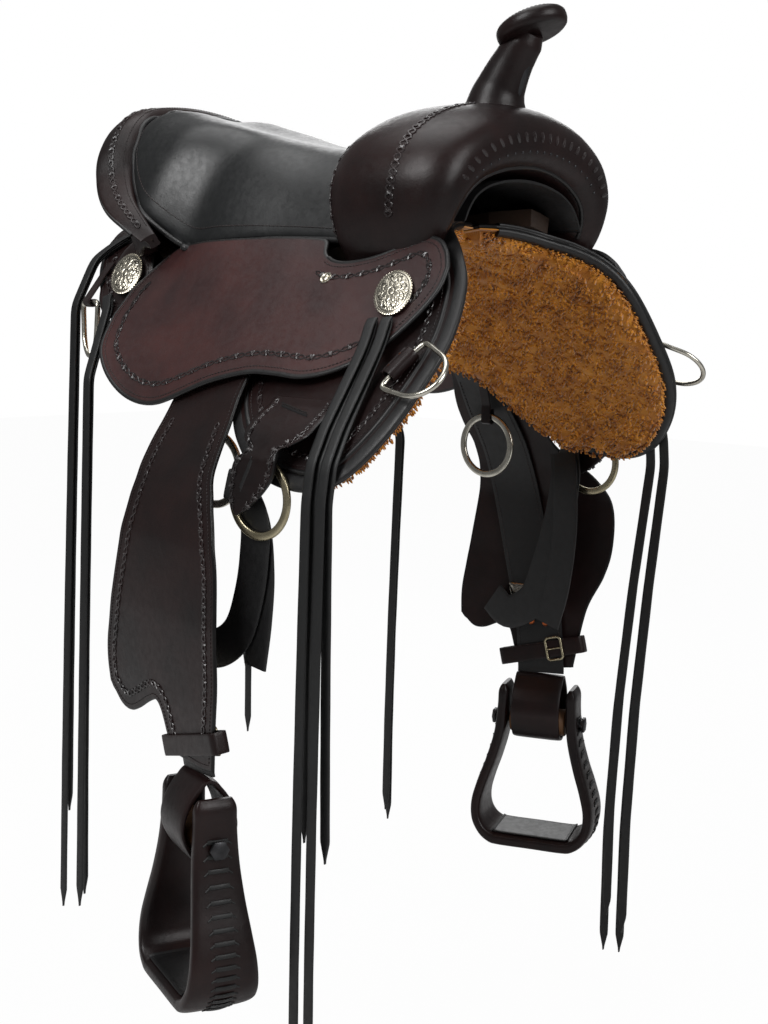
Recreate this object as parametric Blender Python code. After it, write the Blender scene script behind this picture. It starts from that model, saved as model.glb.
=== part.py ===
"""Trail saddle: tree, leathers, rigging, fenders, stirrups and strings.

Metres, +Z up. The horse's head is towards -Y and the rider's right side is -X.
The origin is on the middle of the underside's ridge, where the saddle sits on
the horse's back. Every side piece is drawn on the rider's left (+X) and its
right twin has X turned round.
"""
import math

import bmesh
import bpy
import numpy as np
from mathutils import Vector

# driving dimensions, in metres
GAP = 0.0003
SKIRT_LEATHER = 0.005
FLEECE_THICKNESS = 0.020
BAR_THICKNESS = 0.020
JOCKEY_LEATHER = 0.005
HOUSING_LEATHER = 0.004
COVER_LEATHER = 0.0035
LINING_LEATHER = 0.003
PAD_MIDDLE = 0.018
PAD_EDGE = 0.006
GROUND_SEAT_THICKNESS = 0.009
HORN_POST_RADIUS = 0.008
HORN_CAP_LENGTH = 0.080
HORN_CAP_WIDTH = 0.068
HORN_CAP_THICKNESS = 0.018
HORN_CAP_TILT = math.radians(20)
CORE_GAP = 0.0012
CUT_GAP = 0.0008
RIG_RING_RADIUS = 0.0375
RIG_RING_BAND = 0.0085
RIG_RING_THICKNESS = 0.005
DEE_WIRE = 0.0032
FENDER_LEATHER = 0.004
STRAP_LEATHER = 0.0045
STRAP_WIDTH = 0.064
BILLET_WIDTH = 0.042
HOBBLE_WIDTH = 0.022
HOBBLE_LEATHER = 0.003
HOBBLE_REACH = 0.0560
STRAP_LIE = 0.0026
STIRRUP_TURN = math.radians(22)
STIRRUP_WALL = 0.015
TREAD_DEPTH = 0.080
TREAD_MIDDLE = -0.7350
POST_DEPTH = 0.045
BOLT_RADIUS = 0.006
ROLLER_RADIUS = 0.0176
LACE_WIDTH = 0.0125
LACE_THICKNESS = 0.003
BILLET_LEATHER = 0.0035
KEEPER_LEATHER = 0.004
TREAD_THICKNESS = 0.018
CONCHO_LENGTH = 0.056
CONCHO_WIDTH = 0.044
CONCHO_TURN = math.radians(65)
SKIRT_GRID = (24, 5)

# places on the rider's left side, in metres
STIRRUP_AXIS = Vector((0.304, -0.065, -0.578))
SWING_PLACE = (0.0, 0.105)
RIG_RING_FRONT = Vector((0.2945, -0.135, -0.2275))
RIG_RING_REAR = Vector((0.2400, -0.012, -0.213))

SIDES = (("left", 1.0), ("right", -1.0))
REAR_DEE_PLACE = (0.286, 0.170)
BREAST_DEE_Y = -0.252

# latigo keeper: height, front edge and rear edge along Y
KEEPER_ROWS = (
    (-0.130, -0.190, -0.108), (-0.136, -0.195, -0.104), (-0.150, -0.195, -0.104),
    (-0.163, -0.192, -0.106), (-0.172, -0.178, -0.114), (-0.178, -0.165, -0.126),
    (-0.190, -0.166, -0.111), (-0.205, -0.162, -0.105), (-0.220, -0.150, -0.103),
    (-0.234, -0.134, -0.106), (-0.245, -0.117, -0.112),
)

# fender: height, front and rear edge along Y; then the bottom edge from front to rear
FENDER_EDGES = {
    "right": ((-0.104, -0.058, 0.040), (-0.150, -0.060, 0.050), (-0.185, -0.066, 0.054),
              (-0.215, -0.071, 0.052), (-0.240, -0.087, 0.051), (-0.291, -0.108, 0.074),
              (-0.341, -0.112, 0.093), (-0.381, -0.114, 0.106), (-0.428, -0.115, 0.118),
              (-0.500, -0.106, 0.070)),
    "left": ((-0.104, -0.058, 0.040), (-0.150, -0.060, 0.046), (-0.185, -0.066, 0.045),
             (-0.215, -0.076, 0.038), (-0.255, -0.122, 0.036), (-0.291, -0.142, 0.040),
             (-0.341, -0.144, 0.048), (-0.381, -0.135, 0.054), (-0.428, -0.115, 0.058),
             (-0.500, -0.104, 0.050)),
}
FENDER_TURN = {
    "right": ((0.075, 0.100, 0.13, 0.20, 0.28, 0.36, 0.46), (0.0, 6.0, 6.0, 8.0, 10.0, 12.0, 14.0)),
    "left": ((0.075, 0.100, 0.13, 0.20, 0.28, 0.36, 0.46), (0.0, 6.0, 6.0, 14.0, 15.0, 14.0, 14.0)),
}
FENDER_BOTTOM = {
    "right": ((0.0, -0.503), (0.10, -0.506), (0.40, -0.504), (0.50, -0.450), (0.60, -0.456),
              (0.70, -0.465), (0.80, -0.474), (0.90, -0.470), (1.0, -0.448)),
    "left": ((0.0, -0.503), (0.10, -0.506), (0.50, -0.504), (0.60, -0.450), (0.70, -0.458),
             (0.80, -0.466), (0.90, -0.466), (1.0, -0.448)),
}
FENDER_DROP = ((0.104, 0.110, 0.120, 0.130, 0.140, 0.150, 0.165, 0.185, 0.210, 0.240, 0.280, 0.360,
                0.440, 0.500),
               (0.2236, 0.2278, 0.2346, 0.2410, 0.2464, 0.2508, 0.2590, 0.2720, 0.2870, 0.2990, 0.3060,
                0.3060, 0.3015, 0.2960))
FENDER_MIDDLE = 0.0

# straps on the front rings: shift outwards, width, way points (y, z)
STRAP_FALLS = {
    "right": ((0.0, 0.040, ((-0.123, -0.250), (-0.124, -0.290), (-0.117, -0.330), (-0.103, -0.366),
                            (-0.078, -0.386), (-0.045, -0.392))),
              (-0.0042, 0.030, ((-0.124, -0.250), (-0.133, -0.300), (-0.131, -0.350), (-0.124, -0.399)))),
    "left": ((-0.0045, 0.044, ((-0.105, -0.250), (-0.098, -0.300), (-0.082, -0.360), (-0.060, -0.415),
                           (-0.022, -0.436), (0.004, -0.420))),
             (-0.0090, 0.036, ((-0.108, -0.250), (-0.110, -0.320), (-0.102, -0.390), (-0.088, -0.442)))),
}

# strings: per lace a shift along Y and each tail's sway (x, y) and bottom height
FRONT_TAILS = {
    "right": ((0.009, (((-0.008, 0.010), -0.560), ((-0.005, 0.006), -0.835))),
              (-0.009, (((-0.010, 0.002), -0.575), ((-0.006, 0.006), -0.830)))),
    "left": ((0.009, (((-0.016, 0.031), -0.800), ((-0.013, 0.035), -0.850))),
             (-0.009, (((-0.018, 0.025), -0.815), ((-0.015, 0.029), -0.845)))),
}
FRONT_FALL = {"right": -0.216, "left": -0.233}
REAR_TAILS = {
    "right": (("concho_string", ((0.2460, 0.190), (0.2400, 0.198), (0.2320, 0.206)), ((0.2300, 0.2100, -0.128),),
               (((-0.002, 0.006), -0.745), ((0.003, 0.002), -0.756))),
              ("housing_string", ((0.308, 0.085), (0.315, 0.104), (0.321, 0.122), (0.326, 0.138)),
               ((0.1520, 0.3350, -0.046),),
               (((0.004, 0.004), -0.690), ((0.006, 0.006), -0.815)))),
    "left": (("concho_string", ((0.2460, 0.190), (0.2400, 0.198), (0.2320, 0.206)),
              ((0.2450, 0.2020, -0.125), (0.2580, 0.1760, -0.160), (0.2640, 0.1560, -0.215)),
              (((-0.002, 0.006), -0.745), ((0.003, 0.010), -0.762))),
             ("housing_string", ((0.308, 0.085), (0.315, 0.104), (0.321, 0.122), (0.326, 0.138)),
               ((0.1520, 0.3350, -0.046),),
              (((0.004, 0.004), -0.560), ((0.006, 0.006), -0.650)))),
}

# cross-sections of the skirt's outer face: station along Y, then (x, z) from the ridge down
SKIRT_SECTIONS = (
    (-0.29, ((0, 0.070), (0.044, 0.069), (0.083, 0.061), (0.114, 0.047), (0.136, 0.024),
             (0.157, -0.013), (0.191, -0.064), (0.234, -0.114), (0.262, -0.156), (0.285, -0.200))),
    (-0.10, ((0, 0.045), (0.042, 0.042), (0.080, 0.030), (0.112, 0.008), (0.140, -0.018),
             (0.168, -0.048), (0.200, -0.084), (0.236, -0.128), (0.264, -0.168), (0.283, -0.210))),
    (0.05, ((0, 0.026), (0.040, 0.023), (0.080, 0.009), (0.115, -0.018), (0.145, -0.048),
            (0.172, -0.078), (0.203, -0.113), (0.233, -0.150), (0.256, -0.185), (0.272, -0.218))),
    (0.20, ((0, 0.030), (0.040, 0.028), (0.080, 0.017), (0.113, -0.004), (0.142, -0.032),
            (0.170, -0.062), (0.198, -0.094), (0.224, -0.128), (0.244, -0.160), (0.258, -0.190))),
    (0.36, ((0, 0.058), (0.040, 0.055), (0.080, 0.042), (0.112, 0.016), (0.138, -0.012),
            (0.162, -0.042), (0.188, -0.074), (0.212, -0.108), (0.232, -0.140), (0.246, -0.170))),
)

# cross-sections of the seat jockey's outer face, from the seat's edge down
JOCKEY_SECTIONS = (
    (-0.26, ((0.128, 0.052), (0.145, 0.032), (0.158, 0.008), (0.172, -0.018), (0.190, -0.046),
             (0.208, -0.070))),
    (-0.20, ((0.130, 0.046), (0.147, 0.024), (0.164, -0.004), (0.184, -0.036), (0.207, -0.068),
             (0.228, -0.096))),
    (-0.10, ((0.134, 0.034), (0.156, 0.008), (0.180, -0.024), (0.207, -0.062), (0.236, -0.101),
             (0.260, -0.136))),
    (0.00, ((0.139, 0.036), (0.160, 0.010), (0.184, -0.024), (0.211, -0.066), (0.238, -0.108),
            (0.260, -0.146))),
    (0.09, ((0.146, 0.034), (0.162, 0.008), (0.184, -0.030), (0.208, -0.074), (0.232, -0.118),
            (0.250, -0.158))),
    (0.20, ((0.126, 0.024), (0.146, 0.000), (0.169, -0.028), (0.193, -0.058), (0.215, -0.086),
            (0.235, -0.114))),
)

# edges of the leathers: (y, distance down the section)
SKIRT_UPPER = ((-0.166, 0.006), (-0.05, 0.006), (0.10, 0.006), (0.25, 0.006), (0.352, 0.006))
SKIRT_LOWER = ((-0.172, 0.030), (-0.198, 0.084), (-0.226, 0.118), (-0.252, 0.150), (-0.274, 0.190),
               (-0.286, 0.253), (-0.284, 0.319), (-0.266, 0.372), (-0.230, 0.412), (-0.185, 0.420),
               (-0.130, 0.403), (-0.085, 0.370), (-0.050, 0.328), (-0.024, 0.281), (0.020, 0.246),
               (0.070, 0.228), (0.130, 0.222), (0.190, 0.215), (0.250, 0.195), (0.300, 0.165),
               (0.335, 0.120), (0.352, 0.070), (0.356, 0.030))
JOCKEY_UPPER = ((-0.250, 0.042), (-0.236, 0.027), (-0.214, 0.019), (-0.188, 0.026), (-0.150, 0.036),
                (-0.110, 0.036), (-0.086, 0.024), (-0.076, 0.006), (-0.060, 0.0015), (0.0, 0.0015),
                (0.07, 0.0015), (0.13, 0.0015), (0.165, 0.006), (0.192, 0.030), (0.212, 0.062))
JOCKEY_LOWER = ((-0.258, 0.060), (-0.256, 0.087), (-0.240, 0.122), (-0.215, 0.156), (-0.180, 0.177),
                (-0.140, 0.185), (-0.100, 0.180), (-0.065, 0.179), (-0.020, 0.189), (0.030, 0.203),
                (0.075, 0.211), (0.115, 0.208), (0.150, 0.196), (0.182, 0.175), (0.204, 0.148),
                (0.215, 0.105))
BAR_UPPER = ((-0.195, 0.062), (-0.150, 0.046), (0.05, 0.044), (0.20, 0.046), (0.250, 0.064))
BAR_LOWER = ((-0.200, 0.088), (-0.160, 0.112), (0.03, 0.122), (0.20, 0.120), (0.255, 0.092))
HOUSING_UPPER = ((0.190, 0.165), (0.230, 0.100), (0.268, 0.050), (0.300, 0.008), (0.352, 0.008))
HOUSING_LOWER = ((0.200, 0.215), (0.245, 0.210), (0.290, 0.170), (0.328, 0.120), (0.352, 0.060))

# fork: outer (x, z), inner (x, z), front y, rear y, from foot to middle
FORK_STATIONS = (
    ((0.143, 0.002), (0.110, 0.034), -0.214, -0.094),
    ((0.158, 0.032), (0.107, 0.050), -0.230, -0.086),
    ((0.167, 0.066), (0.100, 0.064), -0.240, -0.082),
    ((0.165, 0.100), (0.088, 0.078), -0.247, -0.080),
    ((0.144, 0.136), (0.068, 0.089), -0.251, -0.080),
    ((0.102, 0.163), (0.042, 0.096), -0.253, -0.084),
    ((0.052, 0.177), (0.020, 0.099), -0.254, -0.090),
    ((0.0, 0.181), (0.0, 0.100), -0.255, -0.093),
)

# cantle: rim point, base point, half thickness, from the middle to the wing
CANTLE_STATIONS = (
    ((0.0, 0.300, 0.208), (0.0, 0.245, 0.072), 0.0155),
    ((0.066, 0.296, 0.2025), (0.055, 0.240, 0.050), 0.0155),
    ((0.110, 0.284, 0.186), (0.095, 0.232, 0.034), 0.0155),
    ((0.138, 0.275, 0.153), (0.118, 0.226, 0.028), 0.015),
    ((0.152, 0.261, 0.118), (0.134, 0.220, 0.024), 0.014),
    ((0.162, 0.238, 0.086), (0.146, 0.208, 0.020), 0.012),
    ((0.168, 0.207, 0.060), (0.156, 0.194, 0.028), 0.009),
    ((0.171, 0.178, 0.038), (0.163, 0.176, 0.026), 0.006),
)
CANTLE_LOOP = ((-1.0, 0.0), (-1.05, 0.35), (-1.1, 0.7), (-0.9, 0.93), (-0.1, 1.0), (1.0, 1.0),
               (2.0, 0.95), (2.05, 0.86), (1.3, 0.78), (0.95, 0.4), (0.9, 0.0))

# seat's middle line: (y, z), and the dish beside it: (y, depth)
SEAT_MIDDLE = ((-0.088, 0.143), (-0.05, 0.139), (0.0, 0.139), (0.05, 0.146), (0.10, 0.156),
               (0.14, 0.165), (0.18, 0.175), (0.22, 0.186))
SEAT_DISH = ((-0.09, 0.0), (0.0, 0.0), (0.05, 0.003), (0.10, 0.007), (0.14, 0.011), (0.18, 0.014),
             (0.22, 0.012), (0.26, 0.004), (0.28, 0.0))


def catmull(points, count):
    """Points at even distances along the smooth curve through the given points."""
    pts = np.array(points, float)
    pts = np.vstack([2 * pts[0] - pts[1], pts, 2 * pts[-1] - pts[-2]])
    dense = []
    for a, b, c, d in zip(pts, pts[1:], pts[2:], pts[3:]):
        for t in np.linspace(0, 1, 12, endpoint=False):
            dense.append(0.5 * (2 * b + (c - a) * t + (2 * a - 5 * b + 4 * c - d) * t * t
                                + (3 * b - a - 3 * c + d) * t ** 3))
    dense.append(pts[-2])
    dense = np.array(dense)
    run = np.r_[0, np.cumsum(np.linalg.norm(np.diff(dense, axis=0), axis=1))]
    at = np.linspace(0, run[-1], count)
    return np.stack([np.interp(at, run, dense[:, k]) for k in range(dense.shape[1])], axis=1)


class Hide:
    """A surface draped over the saddle, given by cross-sections along Y."""

    def __init__(self, sections):
        self.stations = np.array([y for y, _ in sections])
        self.controls = np.array([points for _, points in sections])
        slopes = np.gradient(self.controls, self.stations, axis=0)
        self.slopes = slopes
        self.known = {}

    def section(self, y):
        """The dense (x, z) line at y and its running length."""
        key = round(float(y), 6)
        if key in self.known:
            return self.known[key]
        ys = self.stations
        if y <= ys[0]:
            controls = self.controls[0] + self.slopes[0] * (y - ys[0])
        elif y >= ys[-1]:
            controls = self.controls[-1] + self.slopes[-1] * (y - ys[-1])
        else:
            i = int(np.searchsorted(ys, y)) - 1
            h = ys[i + 1] - ys[i]
            t = (y - ys[i]) / h
            controls = ((2 * t ** 3 - 3 * t ** 2 + 1) * self.controls[i]
                        + (t ** 3 - 2 * t ** 2 + t) * h * self.slopes[i]
                        + (3 * t ** 2 - 2 * t ** 3) * self.controls[i + 1]
                        + (t ** 3 - t ** 2) * h * self.slopes[i + 1])
        line = catmull(controls, 6 * len(controls))
        run = np.r_[0, np.cumsum(np.linalg.norm(np.diff(line, axis=0), axis=1))]
        self.known[key] = line, run
        return self.known[key]

    def point(self, y, s):
        """The surface point at y, a distance s down the section."""
        line, run = self.section(y)
        if s < 0:
            x, z = line[0] + (line[1] - line[0]) * s / run[1]
        elif s > run[-1]:
            x, z = line[-1] + (line[-1] - line[-2]) * (s - run[-1]) / (run[-1] - run[-2])
        else:
            x, z = np.interp(s, run, line[:, 0]), np.interp(s, run, line[:, 1])
        return np.array([x, y, z])

    def normal(self, y, s, step=0.004):
        """The unit normal that points away from the horse."""
        along = self.point(y + step, s) - self.point(y - step, s)
        down = self.point(y, s + step) - self.point(y, s - step)
        n = np.cross(along, down)
        n *= -1 if n[2] < 0 and abs(n[2]) > abs(n[0]) or n[0] < 0 and abs(n[0]) >= abs(n[2]) else 1
        return n / np.linalg.norm(n)

    def lifted(self, y, s, lift):
        """The point a distance lift outside the surface."""
        return self.point(y, s) + self.normal(y, s) * lift

    def down_to(self, y, z):
        """The distance down the section at which it reaches height z."""
        line, run = self.section(y)
        if z < line[-1][1]:
            slope = (line[-1][1] - line[-2][1]) / (run[-1] - run[-2])
            return run[-1] + (z - line[-1][1]) / slope
        return float(np.interp(-z, -line[:, 1], run))


SKIRT = Hide(SKIRT_SECTIONS)
JOCKEY = Hide(JOCKEY_SECTIONS)


def material(name, colour, roughness, metallic=0.0):
    """A plain material of one colour."""
    made = bpy.data.materials.new(name)
    made.use_nodes = True
    shader = made.node_tree.nodes["Principled BSDF"]
    shader.inputs["Base Color"].default_value = (*colour, 1)
    shader.inputs["Roughness"].default_value = roughness
    shader.inputs["Metallic"].default_value = metallic
    made.diffuse_color = (*colour, 1)
    return made


def add_mesh(name, points, faces, finish, side=1.0, smooth=True):
    """An object from points and faces, with its faces turned outwards."""
    mesh = bpy.data.meshes.new(name)
    split = []
    for face in faces:
        split += [(face[0], face[1], face[2]), (face[0], face[2], face[3])] if len(face) == 4 else [face]
    mesh.from_pydata([(p[0] * side, p[1], p[2]) for p in points], [], split)
    work = bmesh.new()
    work.from_mesh(mesh)
    bmesh.ops.recalc_face_normals(work, faces=work.faces)
    work.to_mesh(mesh)
    work.free()
    obj = bpy.data.objects.new(name, mesh)
    bpy.context.scene.collection.objects.link(obj)
    mesh.materials.append(finish)
    if smooth:
        mesh.shade_smooth()
        mesh.set_sharp_from_angle(angle=math.radians(40))
    return obj


def plate(outer, inner):
    """Points and faces of the closed plate between two grids of points."""
    outer, inner = np.asarray(outer), np.asarray(inner)
    columns, rows = outer.shape[:2]
    points = np.vstack([outer.reshape(-1, 3), inner.reshape(-1, 3)])
    half = columns * rows

    def at(i, j, k):
        return k * half + i * rows + j

    faces = []
    for i in range(columns - 1):
        for j in range(rows - 1):
            for k in (0, 1):
                faces.append((at(i, j, k), at(i + 1, j, k), at(i + 1, j + 1, k), at(i, j + 1, k)))
    for i in range(columns - 1):
        for j in (0, rows - 1):
            faces.append((at(i, j, 0), at(i + 1, j, 0), at(i + 1, j, 1), at(i, j, 1)))
    for j in range(rows - 1):
        for i in (0, columns - 1):
            faces.append((at(i, j, 0), at(i, j + 1, 0), at(i, j + 1, 1), at(i, j, 1)))
    return points, faces


def loft(rings, closed=False):
    """Points and faces of a skin over equal rings of points, capped or joined end to end."""
    rings = np.asarray(rings)
    count, size = rings.shape[:2]
    faces = []
    for i in range(count if closed else count - 1):
        a, b = i * size, (i + 1) % count * size
        for j in range(size):
            k = (j + 1) % size
            faces.append((a + j, a + k, b + k, b + j))
    if not closed:
        faces.append(tuple(range(size)))
        faces.append(tuple(range((count - 1) * size, count * size)))
    return rings.reshape(-1, 3), faces


def shell(outer, inner):
    """Points and faces of a hollow skin between two lofts, open at both ends."""
    outer, inner = np.asarray(outer), np.asarray(inner)
    count, size = outer.shape[:2]
    points = np.vstack([outer.reshape(-1, 3), inner.reshape(-1, 3)])
    half = count * size
    faces = []
    for i in range(count - 1):
        for j in range(size):
            k = (j + 1) % size
            a, b = i * size, (i + 1) * size
            faces.append((a + j, a + k, b + k, b + j))
            faces.append((half + a + j, half + b + j, half + b + k, half + a + k))
    for i in (0, count - 1):
        for j in range(size):
            k = (j + 1) % size
            a = i * size
            faces.append((a + j, a + k, half + a + k, half + a + j))
    return points, faces


def panel(name, hide, upper, lower, grid, lifts, finish, side, rise=None):
    """A leather on a hide between two edges, from one lift to another."""
    columns, rows = grid
    top, bottom = catmull(upper, columns), catmull(lower, columns)
    skins = [np.zeros((columns, rows, 3)) for _ in lifts]
    for i in range(columns):
        for j, t in enumerate(np.linspace(0, 1, rows)):
            y, s = top[i] * (1 - t) + bottom[i] * t
            extra = rise(y, s) if rise else 0.0
            for skin, lift in zip(skins, lifts):
                skin[i, j] = hide.lifted(y, s, lift + extra)
    return add_mesh(name, *plate(skins[1], skins[0]), finish, side)


def ribbon(name, path, across, width, thickness, finish, side):
    """A flat strap along a path; across gives its width direction at each point."""
    path = np.asarray(path, float)
    across = np.broadcast_to(np.asarray(across, float), path.shape)
    tangents = np.gradient(path, axis=0)
    rings = []
    for point, tangent, wide in zip(path, tangents, across):
        tangent = tangent / np.linalg.norm(tangent)
        wide = wide - tangent * (wide @ tangent)
        wide = wide / np.linalg.norm(wide)
        thick = np.cross(tangent, wide)
        rings.append([point + wide * width / 2 * a + thick * thickness / 2 * b
                      for a, b in ((-1, -1), (1, -1), (1, 1), (-1, 1))])
    return add_mesh(name, *loft(rings), finish, side)


def cut(obj, cutters):
    """Takes the cutters' shapes out of an object."""
    for cutter in cutters:
        step = obj.modifiers.new("cut by " + cutter.name, "BOOLEAN")
        step.operation = "DIFFERENCE"
        step.solver = "EXACT"
        step.object = cutter


def as_cutter(obj):
    """Marks an object as a tool that only cuts others."""
    obj.hide_render = True
    obj.display_type = "WIRE"
    return obj


def carry(pivot, pieces):
    """Parents the pieces to an empty on their joint, leaving them where they are."""
    bpy.context.view_layer.update()
    for piece in pieces:
        piece.parent = pivot
        piece.matrix_parent_inverse = pivot.matrix_world.inverted()


def empty(name, place, side):
    """An empty at a joint."""
    pivot = bpy.data.objects.new(name, None)
    pivot.location = (place[0] * side, place[1], place[2])
    bpy.context.scene.collection.objects.link(pivot)
    return pivot


def frame_on(hide, y, s, lift, turn=0.0):
    """Place and axes on a hide: forward, down the slope and outward."""
    place = hide.lifted(y, s, lift)
    out = hide.normal(y, s)
    forward = np.array([0.0, -1.0, 0.0])
    forward = forward - out * (forward @ out)
    forward /= np.linalg.norm(forward)
    down = np.cross(out, forward)
    down *= -1 if down[2] > 0 else 1
    a = forward * math.cos(turn) + down * math.sin(turn)
    b = -forward * math.sin(turn) + down * math.cos(turn)
    return place, a, b, out


def fork_rings(grow, points=12, power=2.5):
    """Rings of the fork from one foot over the top to the other, grown outwards."""
    half = []
    for outer, inner, front, rear in FORK_STATIONS:
        outer, inner = np.array(outer), np.array(inner)
        middle, reach = (outer + inner) / 2, (outer - inner) / 2
        size = np.linalg.norm(reach)
        reach = reach / size * (size + grow)
        deep, centre = (rear - front) / 2 + grow, (rear + front) / 2
        ring = []
        for k in range(points):
            a = 2 * math.pi * k / points
            c = math.copysign(abs(math.cos(a)) ** (2 / power), math.cos(a))
            s = math.copysign(abs(math.sin(a)) ** (2 / power), math.sin(a))
            x, z = middle + reach * c
            ring.append((x, centre + deep * s, z))
        half.append(ring)
    mirrored = [[(-x, y, z) for x, y, z in ring] for ring in half[:-1]]
    return mirrored + half[::-1]


def cantle_rings(grow):
    """Rings of the cantle from wing to wing, grown outwards."""
    half = []
    for rim, base, thick in CANTLE_STATIONS:
        rim, base = np.array(rim), np.array(base)
        up = rim - base
        height = np.linalg.norm(up)
        up /= height
        away = np.array([rim[0] * 1.1, rim[1] - 0.06, 0.0])
        away -= up * (away @ up)
        away /= np.linalg.norm(away)
        thick = thick + grow
        ring = []
        for a, b in CANTLE_LOOP:
            rise = b * height + grow * (2 * b - 1)
            ring.append(base + up * rise + away * a * thick)
        half.append(ring)
    mirrored = [[np.array([-p[0], p[1], p[2]]) for p in ring] for ring in half[1:]]
    return mirrored[::-1] + half


def round_rings(path, radii, sides, squash=1.0):
    """Circles square to a path in the YZ plane."""
    path = np.asarray(path, float)
    tangents = np.gradient(path, axis=0)
    rings = []
    for point, tangent, radius in zip(path, tangents, radii):
        tangent = tangent / np.linalg.norm(tangent)
        up = np.cross([1.0, 0.0, 0.0], tangent)
        rings.append([point + np.array([1.0, 0, 0]) * radius * squash * math.cos(a)
                      + up * radius * math.sin(a)
                      for a in np.linspace(0, 2 * math.pi, sides, endpoint=False)])
    return rings


def build_tree(finishes):
    """Bars, fork, horn and cantle board, with the leathers that cover them."""
    wood, hide_dark, black = finishes["rawhide tree"], finishes["dark leather"], finishes["black leather"]
    low = SKIRT_LEATHER / 2 + 5 * GAP
    cutters = []
    for word, side in SIDES:
        panel(f"tree_bar_{word}", SKIRT, BAR_UPPER, BAR_LOWER, (10, 3),
              (low, low + BAR_THICKNESS), wood, side)
        wide_upper = [(y, s - CUT_GAP) for y, s in BAR_UPPER]
        wide_lower = [(y, s + CUT_GAP) for y, s in BAR_LOWER]
        for wide in (wide_upper, wide_lower):
            wide[0] = (wide[0][0] - CUT_GAP, wide[0][1])
            wide[-1] = (wide[-1][0] + CUT_GAP, wide[-1][1])
        cutters.append(as_cutter(panel(f"bar_space_{word}", SKIRT, wide_upper, wide_lower, (10, 3),
                                       (-0.02, low + BAR_THICKNESS + CUT_GAP), wood, side)))
        half = SKIRT_LEATHER / 2
        cutters.append(as_cutter(panel(f"skirt_space_{word}", SKIRT, SKIRT_UPPER, SKIRT_LOWER, SKIRT_GRID,
                                       (-half - 0.015, half + CUT_GAP), wood, side)))
    core = add_mesh("fork", *loft(fork_rings(-COVER_LEATHER - CORE_GAP)), wood)
    cover = add_mesh("fork_cover", *shell(fork_rings(0.0), fork_rings(-COVER_LEATHER)), hide_dark)
    fork_space = as_cutter(add_mesh("fork_space", *loft(fork_rings(CUT_GAP)), wood))

    tilt = np.array([0.0, math.sin(HORN_CAP_TILT), math.cos(HORN_CAP_TILT)])
    cap_centre = np.array([0.0, -0.231, 0.259])
    cap_foot = cap_centre - tilt * (HORN_CAP_THICKNESS / 2 + GAP)
    post_foot = np.array([0.0, -0.186, 0.128])
    post_line = cap_foot - post_foot
    post_line /= np.linalg.norm(post_line)
    post_top = cap_foot - post_line * 0.009
    post = add_mesh("horn_post", *loft(round_rings(
        [post_foot, post_foot + (post_top - post_foot) * 0.5, post_top],
        [HORN_POST_RADIUS] * 3, 12)), finishes["forged steel"])
    bore = as_cutter(add_mesh("horn_bore", *loft(round_rings(
        [post_foot - post_line * GAP, post_foot + (post_top - post_foot) * 0.5, post_top + post_line * GAP],
        [HORN_POST_RADIUS + GAP] * 3, 12)), wood))
    neck_path = ((0, -0.184, 0.158), (0, -0.190, 0.190), (0, -0.201, 0.213), (0, -0.215, 0.235),
                 cap_foot - tilt * 0.006, cap_foot + tilt * 0.004)
    neck_line = catmull(neck_path, 8)
    neck_rings = round_rings(neck_line, np.interp(np.linspace(0, 1, 8), (0, 0.25, 0.5, 0.75, 1),
                                                  (0.042, 0.032, 0.025, 0.0215, 0.0235)), 14)
    neck = add_mesh("horn_neck", *loft(neck_rings), hide_dark)
    rings = []
    for rise, share in ((-1, 0.86), (-0.6, 0.97), (0, 1.0), (0.55, 0.97), (1, 0.84)):
        middle = cap_centre + tilt * rise * HORN_CAP_THICKNESS / 2
        fore = np.array([0.0, -tilt[2], tilt[1]])
        rings.append([middle + fore * HORN_CAP_LENGTH / 2 * share * math.cos(a)
                      + np.array([1.0, 0, 0]) * HORN_CAP_WIDTH / 2 * share * math.sin(a)
                      for a in np.linspace(0, 2 * math.pi, 24, endpoint=False)])
    add_mesh("horn_cap", *loft(rings), hide_dark)
    wide_ring = [cap_foot + (p - cap_centre) * 1.5 for p in rings[2]]
    cap_space = as_cutter(add_mesh("cap_space", *loft([wide_ring, [p + tilt * 0.04 for p in wide_ring]]), wood))
    cut(core, cutters + [bore])
    cut(cover, cutters + [bore])
    cut(neck, [fork_space, bore, cap_space])

    outer, inner = [], []
    stations = [(o, i, f, r) for o, i, f, r in FORK_STATIONS[1:]]
    line = [(i, o) for o, i, _, _ in stations]
    arch = [((-i[0], i[1]), (-o[0], o[1])) for i, o in line[:-1]] + line[::-1]
    for inside, outside in arch:
        inside, outside = np.array(inside), np.array(outside)
        inward = (inside - outside) / np.linalg.norm(inside - outside)
        for rows, depth in ((outer, GAP), (inner, GAP + LINING_LEATHER)):
            x, z = inside + inward * depth
            rows.append([(x, y, z) for y in np.linspace(-0.232, -0.105, 4)])
    lining = add_mesh("gullet_lining", *plate(outer, inner), black)
    cut(lining, cutters)

    board = add_mesh("cantle_board", *loft(cantle_rings(-COVER_LEATHER - CORE_GAP)), wood)
    cover = add_mesh("cantle_cover", *shell(cantle_rings(0.0), cantle_rings(-COVER_LEATHER)), hide_dark)
    cantle_space = as_cutter(add_mesh("cantle_space", *loft(cantle_rings(CUT_GAP)), wood))
    cut(board, cutters)
    cut(cover, cutters)
    return cutters, fork_space, cantle_space


def cantle_face(station, share, proud):
    """A point on the cantle's front face: a share of its height up, a distance in front."""
    rim, base, thick = station
    rim, base = np.array(rim), np.array(base)
    up = rim - base
    away = np.array([rim[0] * 1.1, rim[1] - 0.06, 0.0])
    away -= up * (away @ up) / (up @ up)
    away /= np.linalg.norm(away)
    return base + up * share - away * (thick * 1.1 + proud)


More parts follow.
